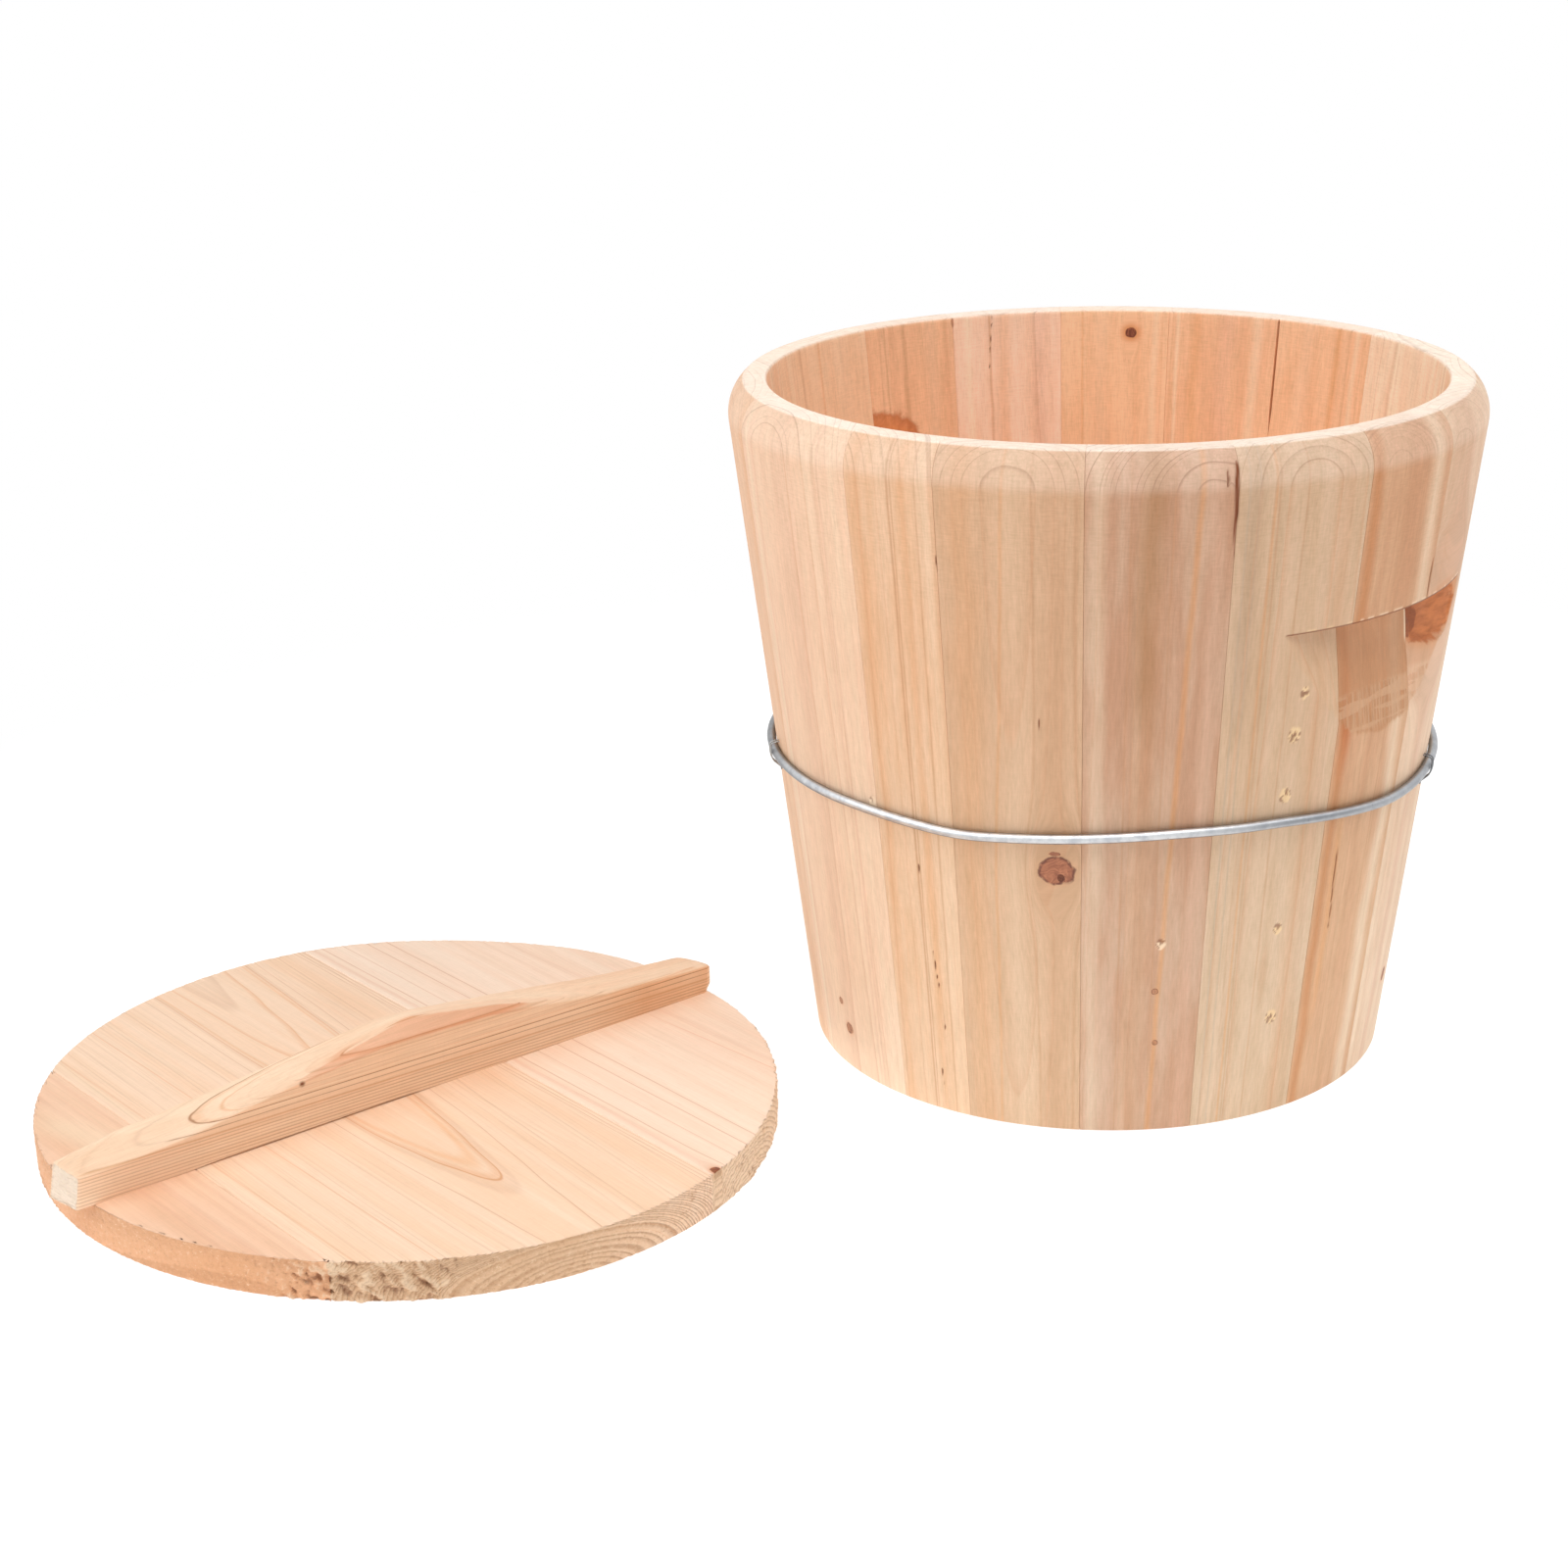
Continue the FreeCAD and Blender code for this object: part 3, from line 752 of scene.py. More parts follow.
def wood(name, given, heading=0.0, middle=(0.0, 0.0), radial=True):
    """A board's wood from its look. Radial boards are staves. Their points' own masks are end_grain, cut
    for a grip, plain for where no rings show, pale for torn wood and painted highlights, and crack for
    cracks and pin knots together with painted shade in pits, holes and along a grip's ledge."""
    material, n = new_material(name)
    look = PLAIN_LOOK | given
    seed = look["seed"]
    local = wood_place(n, heading, middle, radial)
    knots, vector = wood_knots(n, look, local)
    rings = n.use(group("rings"), Vector=vector, Pith=look["pith"], Lean=look["lean"],
                  Flatness=look["flatness"], Inner_Width=look["width"],
                  Outer_Width=look.get("outer_width", look["width"]), Change=look["change"],
                  Waver=look["waver"], Uneven=look["uneven"], Sharpness=look["sharpness"], Seed=seed)
    fibres = n.use(group("fibres"), Vector=vector, Seed=seed)
    x, y, z = n.split(vector)
    across = n.times(n.math("ARCTAN2", y, x), 180 / math.pi) if radial else y
    end = n.mask("end_grain")
    cut = n.mask("cut")
    ends = n.step(end, 0.0, 0.5)
    within = None
    upper = 0.0

    color = board_color(n, look, rings, fibres, across, z, cut)
    if radial:
        level = n.split(local)[2]
        upper = n.step(level, 200.0, 265.0)
        from_axis = n.vector("LENGTH", n.vector("MULTIPLY", local, (1, 1, 0)))
        wall_middle = n.plus(n.times(level, FLARE), FOOT - WALL / 2)
        within = n.step(n.minus(from_axis, wall_middle), 2.0, -2.0)
        # Painted light: the outer wall is tinted cooler near the foot and painted darker higher up, and the
        # inner wall is painted paler.
        painted_height_light = n.mix(n.step(level, 10.0, 240.0), FOOT_PAINTED_BOUNCE, UPPER_PAINTED_SHADE)
        color = n.mix(1.0, color, n.mix(within, painted_height_light, INNER_PAINTED_LIGHT), "MULTIPLY")
    # Painted highlight on the upward-facing rounding and band of a stave's rim; the boards set its strength
    # to 0.
    color = n.tint(color, RIM_HIGHLIGHT, ends, look["rounding_highlight"])
    if radial:
        # Painted highlight on the flat top band of the rim, which faces the light from above.
        color = n.tint(color, BAND_HIGHLIGHT, n.step(level, HEIGHT - 0.9, HEIGHT - 0.2), 0.65)
    color, shown = ring_color(n, color, look, rings, ends, n.mask("plain"))
    color = fine_grain(n, color, look, fibres, upper)
    if "specks" in look:
        dots = n.step(n.noise(local, 0.9, 3.0, 0.7), 0.66, 0.74)
        clusters = n.step(n.noise(local, 0.06, 1.0), 0.5, 0.62)
        color = n.tint(color, SPECK, dots, upper, clusters, look["specks"])
    height = n.plus(n.times(fibres["Fibres"], 0.5), n.times(rings["Late"], 0.35, shown),
                    n.times(fibres["Sanding"], ends, 0.7), n.times(fibres["Fibres"], cut))
    if "tool_band" in look:
        marks = tool_marks(n, look, local, cut)
        height = n.plus(height, n.times(marks, 1.5))
        color = n.tint(color, PALE, marks, 0.16)
    for knot, parts in knots:
        color = knot_color(n, color, knot, parts, local, within, cut)
    color, rugged = sawn_end(n, color, look, rings, local, y, end)
    # The pale mask holds torn wood and painted highlights.
    color = n.tint(color, look["pale_color"], n.mask("pale"), 0.8)
    # The crack mask holds cracks, pin knots and painted shade.
    color = n.mix(n.mask("crack"), color, CRACK)
    roughness = n.plus(0.5, n.times(fibres["Fibres"], 0.16))
    finish_material(n, color, roughness, n.plus(height, rugged), look["bump"])
    return material


# ---------------------------------------------------------------- the staves

# What marks the wall. Cracks run from a heading and height to another one, and are so wide and deep.
OUTER_CRACKS = (
    (-78.3, 290, -78.1, 250, 1.5, 0.35),
    (-52.6, 120, -51.8, 76, 0.5, 1.6),
    (-127.6, 115, -127.4, 100, 0.28, 0.8),
    (-126.0, 76, -125.2, 52, 0.28, 0.9),
    (-124.9, 47, -124.5, 36, 0.3, 0.9),
    (-126.1, 20, -125.9, 12, 0.3, 0.8),
    (-105.7, 190, -105.4, 174, 0.1, 0.2),
    (-120.5, 252, -120.4, 243, 0.28, 0.9),
    (-37.8, 218, -38.0, 238, 0.9, 1.8),
)
INNER_CRACKS = (
    (104.9, 294, 106.2, 262, 0.2, 0.5),
)
# Torn flakes: heading, height, size and how far they stand out.
FLAKES = (
    (-64.2, 192, 2.6, 0.5),
    (-65.2, 174.5, 3.6, 0.8),
    (-65.7, 148.5, 3.4, 0.8),
    (-63.2, 46.5, 3.4, 0.45),
    (-64.0, 88, 2.6, 0.3),
    (-85.5, 88, 2.4, 0.3),
    (-136.5, 137.5, 2.6, 0.4),
)
# Holes: heading, height, half width, half height and depth.
HOLES = (
    (-79.6, 283.5, 0.7, 3.6, 0.8),
)
# Where the wood of the right grip is broken out at its knot: heading, height, half width and half height.
BREAK = (-29.5, 209, 21, 15)
GRIP_JOINT = -37.6   # the stave joint inside the right grip
GRIP_REACH = 80      # how far a grip's flat back is followed to each side, in degrees
NO_GRIP = 1e6        # stands for a radius that cuts nothing
EDGE = 0.5           # how far the sharp edges of the foot and the band are broken
ROUND_POINTS = 26
GROOVE_GAP = 0.3     # between the bottom and its groove
# The zones of the wall's section.
OUTER, ROUNDING, BAND_TOP, INNER = 1, 2, 3, 4


def across_mm(heading, middle, height):
    """The distance round the wall from a middle heading."""
    return np.radians(heading - middle) * outside(height)


def crack_depth(heading, height, crack):
    """A crack's groove: a bell-shaped dip across its line, widest near its start and narrow at its ends, on
    a wavering line."""
    start, start_height, end, end_height, width, depth = crack
    way = (height - start_height) / (end_height - start_height)
    inside_way = np.clip(way, 0, 1)
    line = start + (end - start) * inside_way + 0.12 * noise(height / 6, start, 0.0, 5)
    spread = inside_way ** 0.5
    open_by = np.clip(4 * spread * (1 - spread), 0, 1) ** 0.7 * width
    off = across_mm(heading, line, height)
    dip = np.exp(-(off / np.maximum(open_by * 0.5, 1e-3)) ** 2)
    return np.where((way > 0) & (way < 1), dip * depth * open_by / width, 0)


def crack_mask(heading, height, cracks):
    total = 0
    for crack in cracks:
        total = total + crack_depth(heading, height, crack) / crack[5]
    return np.clip(total * 1.6, 0, 1) + np.zeros(np.broadcast(heading, height).shape)


def flake_parts(heading, height):
    """Torn flakes: a rough bump with shallow pits. Gives the height, a pale mask and a mask of painted
    shadow in the pits.
    """
    lift = 0
    pale = 0
    shadow = 0
    for place, level, size, stand in FLAKES:
        off = across_mm(heading, place, height)
        rise = height - level
        distance = np.hypot(off, rise * 0.8) / size
        ragged = rough(off / 1.2, rise / 1.2, level, 11)
        body = np.clip(1 - distance ** 2, 0, 1)
        lift = lift + body * stand * (0.35 + ragged)
        pale = pale + ease(0.1, 0.6, body * (0.7 + ragged))
        shadow = shadow + ease(0.2, 0.5, body) * ease(-0.05, -0.3, ragged)
    return lift, np.clip(pale, 0, 1), np.clip(shadow, 0, 1)


def hole_depth(heading, height):
    total = 0
    for place, level, wide, tall, depth in HOLES:
        off = across_mm(heading, place, height) / wide
        rise = (height - level) / tall
        total = total + depth * ease(1.1, 0.6, np.hypot(off, rise) + 0.2 * noise(off, rise, level, 8))
    return total


def hollow(heading, height):
    """How much deeper the grip is where its wood broke out at a knot: an oval with a steep rim."""
    place, level, wide, tall = BREAK
    off = across_mm(heading, place, height) / wide
    rise = (height - level) / tall
    ragged = 0.12 * noise(heading / 3, height / 6, 0, 9)
    return 2.4 * ease(1.05, 0.85, np.hypot(off, rise) + ragged) + 0.8 * ease(192, 200, height)


def grip_radius(heading, height):
    """How far out the wood reaches in a grip: a flat back that slopes out to the wall's surface, crossed
    by fine marks of the tool near its lower end. Beyond the stave's joint the right grip is cut deeper."""
    wall = settings().wall
    ledge = wall.grip_ledge / MM
    length = wall.grip_length / MM
    under = outside(ledge) - wall.grip_depth / MM
    run_out = outside(ledge - length)
    back = under + (run_out - under) * (ledge - height) / length
    facing = math.degrees(wall.grip_heading)
    nearest = np.full(np.broadcast(heading, height).shape, NO_GRIP)
    for middle in (facing, facing + 180):
        turn = (heading - middle + 180) % 360 - 180
        side = np.cos(np.radians(np.clip(turn, -GRIP_REACH, GRIP_REACH)))
        off = across_mm(turn, 0, height)
        band = ease(163, 170, height) * ease(188, 184, height)
        teeth = band * np.sin(off * 2.1 + 2.5 * noise(off / 3, height / 9, 0, 4))
        scoop = 0.3 * noise(off / 9, height / 14, middle, 3) + 0.16 * teeth - 0.25 * band
        if middle == facing:
            scoop = scoop - (heading > GRIP_JOINT) * hollow(heading, height)
        reach = np.where(np.abs(turn) < GRIP_REACH, (back + scoop) / side, NO_GRIP)
        nearest = np.minimum(nearest, reach)
    return np.where(height < ledge - 0.01, nearest, NO_GRIP)


def outer_relief(heading, height):
    """How far the wood stands off the plain wall outside, with masks of its cracks together with painted
    shade in its holes, flake pits and along the grip's ledge, of its pale torn parts together with a painted
    highlight on the ledge's lip, and of its grips."""
    ledge = settings().wall.grip_ledge / MM
    planed = 0.05 * noise(heading / 3, height / 60, 0, 1)
    cracks = sum(crack_depth(heading, height, crack) for crack in OUTER_CRACKS)
    lift, pale, shadow = flake_parts(heading, height)
    holes = hole_depth(heading, height)
    stand = planed + lift - cracks - holes
    # The dark mask adds painted shade in the holes and painted shadow in the flakes' pits to the cracks.
    dark = crack_mask(heading, height, OUTER_CRACKS) + 0.8 * ease(0.3, 0.8, holes) + 0.6 * shadow
    dark = np.clip(dark, 0, 1)
    reach = outside(height)
    removed = reach + planed - grip_radius(heading, height)
    stand = np.where(removed > 0, np.minimum(planed - removed, stand), stand)
    below = reach - grip_radius(heading, np.minimum(height, ledge - 0.1))
    above = height - ledge
    over_grip = ease(0.1, 0.5, below)
    broken = ease(0.0, 0.4, noise(heading * 1.3, 0, 0, 14))
    # Painted highlight along the ledge's lip.
    ledge_highlight = 0.7 * broken * over_grip * ease(0.6, 0.3, np.abs(above - 0.9))
    # Painted shadow along the ledge's edge, put into the crack mask.
    dark = np.maximum(dark, 0.75 * over_grip * ease(0.5, 0.2, np.abs(above - 0.15)))
    beside = across_mm(heading, GRIP_JOINT, height)
    step_edge = (beside < 0) * ease(-1.5, -0.9, beside) * ease(0.5, 1.5, removed) * ease(196, 201, height)
    return stand, dark, np.clip(pale + ledge_highlight + step_edge, 0, 1), ease(0.0, 0.3, removed)


def inner_relief(heading, height):
    """How far the wood inside stands off the plain wall, with a mask of its cracks."""
    planed = 0.06 * noise(heading / 4, height / 70, 0, 2)
    cracks = sum(crack_depth(heading, height, crack) for crack in INNER_CRACKS)
    return planed - cracks, crack_mask(heading, height, INNER_CRACKS)


def round_over(count):
    """Points along the arc that leaves the flared wall in line with it and ends at the rim's flat band."""
    start = np.array([outside(SHOULDER), SHOULDER])
    end = np.array([BAND_OUTER, HEIGHT])
    inward = np.array([-1, FLARE]) / math.hypot(1, FLARE)
    chord = end - start
    radius = chord @ chord / (2 * chord @ inward)
    middle = start + inward * radius
    first = math.atan2(*(start - middle)[::-1])
    last = math.atan2(*(end - middle)[::-1])
    angles = np.linspace(first, last, count)
    return np.stack([middle[0] + radius * np.cos(angles), middle[1] + radius * np.sin(angles)], axis=1)


def wall_outline(step, ledge=None):
    """The wall's cross-section as a closed loop of radius and height, with the zone of each point, which is
    0 in the bottom's groove and at the foot."""
    lifts = np.arange(EDGE, SHOULDER, step)
    if ledge is not None:
        near = ledge + np.array([-1.5, -0.9, -0.4, -0.02, 0.0, 0.35, 0.8, 1.4])
        lifts = np.sort(np.concatenate([lifts[np.abs(lifts - ledge) > 1.7], near]))
    outer = np.stack([outside(lifts), lifts], axis=1)
    arc = round_over(ROUND_POINTS)
    band = np.array([[BAND_INNER + EDGE, HEIGHT], [BAND_INNER, HEIGHT - EDGE]])
    down = np.arange(HEIGHT - EDGE - 1, BOTTOM_TOP + 2, -max(step * 1.6, 1.2))
    inner = np.stack([inside(down), down], axis=1)
    deep = BOTTOM_REACH + GROOVE_GAP
    groove_top = BOTTOM_TOP + GROOVE_GAP
    groove = np.array([
        [inside(groove_top), groove_top],
        [deep, groove_top],
        [deep, BOTTOM_LOW],
        [inside(BOTTOM_LOW), BOTTOM_LOW],
        [inside(EDGE), EDGE],
        [inside(0) + EDGE, 0],
        [FOOT - EDGE, 0],
    ])
    runs = ((outer, OUTER), (arc, ROUNDING), (band, BAND_TOP), (inner, INNER), (groove, 0))
    zones = np.concatenate([np.full(len(run), zone) for run, zone in runs])
    return np.concatenate([run for run, _ in runs]), zones


def loop_normals(loop):
    """Normals of a closed loop that runs up on its outer side, from each point's two neighbours."""
    along = np.roll(loop, -1, axis=0) - np.roll(loop, 1, axis=0)
    along = along / np.linalg.norm(along, axis=1)[:, None]
    return np.stack([along[:, 1], -along[:, 0]], axis=1)


# Joints that stand open inside: the heading, from which height and up to where they widen, and how far.
OPEN_JOINTS = (
    (49.6, 240, 254, 0.5),
    (113.1, 289, 291, 0.6),
    (164.6, 150, 280, 0.22),
    (-37.6, 284, 292, 0.3),
)


def joint_gap(heading, height, zone):
    """Half the gap of a joint at each height, wider inside where the joint stands open."""
    gap = np.full(len(height), settings().wall.joint_gap / MM)
    for place, low, high, width in OPEN_JOINTS:
        if abs((heading - place + 180) % 360 - 180) < 0.5:
            gap = gap + np.where(zone == INNER, width * ease(low, high, height), 0)
    return gap


def marked(start, end):
    """Whether a stave has cracks, flakes or a grip, and so needs a finer mesh."""
    cracks = OUTER_CRACKS + INNER_CRACKS
    marks = [place for crack in cracks for place in (crack[0], crack[2])] + [flake[0] for flake in FLAKES]
    grip = math.degrees(settings().wall.grip_heading)
    for side in (grip, grip + 180):
        marks += [side - 20, side, side + 20]
    return any((mark - start) % 360 < end - start for mark in marks)


def stave_mesh(name, start, end):
    """The wall's outline carried round from one joint to the next. The two end columns are set back to
    break the edges at the joints."""
    wall = settings().wall
    is_marked = marked(start, end)
    step = (wall.marked_mesh if is_marked else wall.plain_mesh) / MM
    loop, zone = wall_outline(step * 1.3, wall.grip_ledge / MM if is_marked else None)
    normals = loop_normals(loop)
    count = int(math.radians(end - start) * outside(SHOULDER / 2) / step)
    bevel = wall.joint_bevel / MM
    ways = np.linspace(0, 1, count)[:, None]
    first = np.degrees(joint_gap(start, loop[:, 1], zone) / loop[:, 0])[None, :]
    last = np.degrees(joint_gap(end, loop[:, 1], zone) / loop[:, 0])[None, :]
    worn = np.degrees(bevel / loop[:, 0])[None, :]
    inner = start + first + worn + ways * (end - start - first - last - 2 * worn)
    headings = np.concatenate([start + first, inner, end - last])
    heights = np.broadcast_to(loop[:, 1], headings.shape)
    outer_stand, dark, pale, cut = outer_relief(headings, heights)
    inner_stand, inner_dark = inner_relief(headings, heights)
    on_outside = (zone == OUTER) | (zone == ROUNDING)
    stand = np.where(on_outside, outer_stand, 0)
    rounding = np.clip(1 - (loop[:, 1] - SHOULDER) / (HEIGHT - SHOULDER), 0, 1)
    stand = np.where(zone == ROUNDING, outer_stand * rounding, stand)
    stand = np.where(zone == INNER, inner_stand, stand)
    stand[[0, -1]] -= bevel
    radii = loop[:, 0] + normals[:, 0] * stand
    lifts = np.maximum(loop[:, 1] + normals[:, 1] * stand, 0)
    turns = np.radians(headings)
    points = np.stack([radii * np.cos(turns), radii * np.sin(turns), lifts], axis=-1)
    rows, columns = headings.shape
    quads = grid_faces(rows, columns, wrap_columns=True)
    caps = [np.arange(columns)[::-1], np.arange(columns) + (rows - 1) * columns]
    rising = 0.5 * ease(SHOULDER - 2, SHOULDER + 6, loop[:, 1])
    end_part = np.where(zone == ROUNDING, rising, 0.5 * (zone == BAND_TOP))
    # The crack mask carries cracks and painted shade; the pale mask carries torn wood and painted
    # highlights.
    crack = np.where(zone == INNER, inner_dark, np.where(on_outside, dark, 0))
    masks = {
        "crack": crack,
        "pale": np.where(zone == OUTER, pale, 0),
        "cut": np.where(zone == OUTER, cut, 0),
        "end_grain": end_part + np.zeros_like(crack),
    }
    return solid(name, points.reshape(-1, 3), quads, caps, masks)


# How each stave's wood looks. Pith is the tree's middle: its radius and its place across the stave, in
# millimetres from the stave's middle heading. Streaks are headings on the wall, with a width in degrees, a
# strength and a colour, then how far they lean for each millimetre up, and the heights where they end.
STAVE_LOOKS = {
    "stave_01": dict(
        light=srgb(249, 213, 181), deep=srgb(247, 207, 175), pith=(202, -16, 0), width=3.2, seed=1.0,
        ring_tone=0.15,
        streaks=((-162, 1.4, 0.6, PALE), (-151, 4.0, 0.3, PINK), (-143.5, 3.0, 0.2, PALE),
                 (-141.2, 0.5, 0.35, PINK), (-142.2, 0.5, 0.3, PINK), (-138.3, 1.8, 0.3, PALE)),
        knots=(dict(place=(130, -4, 20), radius=2.6, glow=0.5, core=0.7, flow=0),
               dict(place=(130, -9, 31.5), radius=1.6, core=0.6, flow=0))),
    "stave_02": dict(
        light=PEACH, deep=srgb(238, 192, 152), pith=(196, -50, 0), width=3.4, seed=2.0,
        streaks=((-133.5, 1.8, 0.3, ORANGE), (-127.8, 0.35, 0.6, BROWN), (-127.3, 0.25, 0.5, BROWN),
                 (-125.5, 1.2, 0.3, ORANGE), (-123.3, 0.3, 0.45, BROWN), (-122, 1.8, 0.25, PALE))),
    "stave_03": dict(
        light=srgb(224, 183, 147), deep=srgb(219, 177, 140), pith=(190, -2, 0), width=4.6, seed=3.0,
        lean=(-0.03, 0.01, 0), specks=0.6, end_late=0.4,
        streaks=((-116.5, 4.0, 0.3, ORANGE), (-109, 3.0, 0.15, PALE), (-103, 3.5, 0.35, BROWN),
                 (-112, 0.5, 0.4, ORANGE, 0.012), (-106.2, 0.4, 0.35, BROWN), (-100.2, 0.6, 0.4, BROWN)),
        knots=(dict(place=(130, 16.4, 120.6), radius=7.3, tall=0.84, reach=1.45, glow=0.35, core=0.92,
                    color=srgb(182, 116, 84), dark=srgb(134, 76, 56), grain=1.0, heart=0.0, rim=0.8,
                    strokes=(0.2, 0.25, 1.1), gaps=(0.28, 0.55), rim_color=srgb(100, 54, 44)),
               dict(place=(130, 15.6, 128.2), radius=2.3, tall=0.4, glow=0.2, core=0.85, flow=0,
                    color=srgb(160, 96, 70), dark=srgb(140, 80, 60)),
               dict(place=(130, 18.0, 117.6), radius=1.5, tall=1.1, glow=0.0, core=1.0, flow=0,
                    color=DARK, dark=BARK))),
    "stave_04": dict(
        light=srgb(214, 174, 144), deep=srgb(205, 156, 123), pith=(204, 28, 0), width=2.7, seed=4.0,
        specks=0.6, end_late=0.7,
        streaks=((-97, 2.0, 0.3, PALE), (-89.5, 3.5, 0.45, BROWN), (-84.6, 0.8, 0.6, ORANGE, 0.012),
                 (-80.5, 2.0, 0.35, PINK), (-90, 3.0, 0.55, srgb(176, 126, 80), 0.0, 170, 500),
                 (-92.6, 0.3, 0.4, BROWN), (-86.8, 0.3, 0.4, BROWN)),
        knots=(dict(place=(130, 5.5, 66), radius=1.4, glow=0.2, core=0.5, flow=0),
               dict(place=(130, 6.5, 42), radius=1.2, glow=0.2, core=0.5, flow=0))),
    "stave_05": dict(
        light=srgb(222, 188, 155), deep=srgb(214, 178, 142), pith=(192, 4, 0), width=3.4, seed=5.0,
        specks=0.4, end_late=0.35, pale_color=srgb(240, 206, 158),
        cut_color=srgb(228, 186, 146), cut=0.5,
        streaks=((-75.5, 3.0, 0.4, srgb(190, 158, 128), 0.0, 170, 500), (-76.4, 0.3, 0.5, GREY),
                 (-74.8, 0.3, 0.45, GREY), (-72.5, 0.4, 0.45, ORANGE), (-71.8, 0.3, 0.4, BROWN),
                 (-67.5, 0.3, 0.4, BROWN), (-60.5, 3.0, 0.4, srgb(222, 172, 132)))),
    "stave_06": dict(
        light=srgb(222, 174, 134), deep=srgb(216, 164, 124), pith=(190, -13, 0), width=2.2, seed=6.0,
        cut_color=srgb(202, 142, 96), cut=0.75, tool_band=(165, 187),
        streaks=((-45, 9.0, 0.6, srgb(206, 148, 106), 0.0, 200, 500), (-55, 2.0, 0.8, srgb(206, 138, 86)),
                 (-52.8, 1.4, 0.6, ORANGE, 0.0, 30, 150),
                 (-54.4, 2.0, 0.85, srgb(200, 112, 56), 0.0, 145, 225), (-48, 1.5, 0.3, BROWN),
                 (-41, 3.0, 0.6, PALE), (-44.5, 0.3, 0.35, BROWN), (-49.8, 0.3, 0.35, BROWN))),
    "stave_07": dict(
        light=srgb(232, 192, 158), deep=srgb(242, 208, 176), pith=(196, -20, 0), width=2.6, seed=7.0,
        cut_color=srgb(224, 166, 124), cut=0.5, tool_band=(167, 189),
        streaks=((-36.3, 1.4, 0.3, PALE), (-30, 2.5, 0.35, PINK),
                 (-31, 9.0, 0.6, srgb(212, 166, 130), 0.0, 195, 500)),
        knots=(dict(place=(145, -9, 208), radius=23, tall=0.6, flow=1.4, reach=1.5, glow=0.8, core=0.95,
                    color=srgb(212, 128, 72), dark=srgb(160, 86, 44), rim=0.0, heart=0.0, grain=1.0,
                    strokes=(0.1, 0.1, 0.4), contrast=(0.2, 0.9), swirl=3.0,
                    glow_color=srgb(220, 146, 90), in_cut=True),
               dict(place=(145, -22, 206), radius=9, tall=0.8, flow=0, reach=1.4, glow=0.5, core=0.75,
                    color=srgb(156, 82, 40), dark=srgb(112, 54, 26), rim=0.0, heart=0.3, grain=1.0,
                    strokes=(0.1, 0.1, 0.4), contrast=(0.2, 0.9), swirl=3.0,
                    glow_color=srgb(190, 110, 60), in_cut=True),
               dict(place=(130, 9.5, 36), radius=3.0, glow=0.6, core=0.8, flow=0))),
    "stave_08": dict(light=PEACH, deep=PALE, pith=(260, 10, 0), width=3.2, seed=8.0,
                     streaks=((-10, 3, 0.4, ORANGE), (-3, 1.0, 0.4, BROWN))),
    "stave_09": dict(light=srgb(244, 208, 174), deep=PALE, pith=(250, -12, 0), width=2.8, seed=9.0,
                     streaks=((12, 3, 0.3, PEACH), (20, 1.0, 0.4, BROWN))),
    "stave_10": dict(light=srgb(242, 192, 150), deep=srgb(236, 182, 138), pith=(255, 20, 0), width=2.7,
                     seed=10.0, streaks=((31, 1.2, 0.4, PALE), (36, 1.4, 0.5, ORANGE),
                                         (43, 2.5, 0.4, PEACH))),
    "stave_11": dict(light=srgb(240, 190, 148), deep=srgb(234, 180, 138), pith=(262, -6, 0), width=3.0,
                     seed=11.0, streaks=((54, 1.8, 0.4, PALE), (60, 3, 0.35, PINK), (66, 2, 0.4, ORANGE),
                                         (69.5, 0.6, 0.4, PALE))),
    "stave_12": dict(
        light=srgb(246, 198, 156), deep=srgb(240, 188, 144), pith=(240, 3, 0), width=3.4, seed=12.0,
        streaks=((74, 1.2, 0.35, PALE), (84, 2.5, 0.35, PEACH), (87.5, 0.5, 0.4, ORANGE)),
        knots=(dict(place=(140, -7.6, 284), radius=2.6, tall=0.9, flow=3.4, reach=3.2, glow=0.85, core=0.95,
                    color=srgb(150, 84, 60)),)),
    "stave_13": dict(light=srgb(249, 212, 184), deep=srgb(244, 200, 168), pith=(258, 12, 0), width=2.9,
                     seed=13.0, streaks=((96, 2.5, 0.45, PINK), (105.6, 0.5, 0.5, BROWN),
                                         (103, 2, 0.3, ORANGE), (110, 1.4, 0.5, PALE))),
    "stave_14": dict(
        light=srgb(242, 190, 148), deep=srgb(234, 180, 138), pith=(250, -10, 0), width=2.8, seed=14.0,
        streaks=((124, 1.0, 0.5, BROWN), (118, 2.5, 0.35, PEACH), (128.5, 0.4, 0.4, BROWN)),
        knots=(dict(place=(138, 22, 238), radius=27, tall=0.68, flow=0, reach=1.12, glow=0.4, core=0.8,
                    color=srgb(222, 138, 80), dark=srgb(204, 116, 62), rim=0.35, heart=0.0, grain=0.25,
                    inside=True, gaps=(0.0, 0.1), rim_color=srgb(176, 98, 56)),)),
    "stave_15": dict(light=srgb(244, 202, 164), deep=srgb(240, 194, 154), pith=(262, -20, 0), width=3.0,
                     seed=15.0, streaks=((140, 3, 0.3, PEACH), (147, 0.6, 0.4, ORANGE),
                                         (154, 0.8, 0.4, BROWN), (159, 2.0, 0.3, PALE))),
    "stave_16": dict(light=srgb(242, 200, 164), deep=srgb(238, 190, 150), pith=(256, 14, 0), width=3.2,
                     seed=16.0, streaks=((171, 2.4, 0.35, PALE), (184, 3, 0.3, ORANGE))),
}


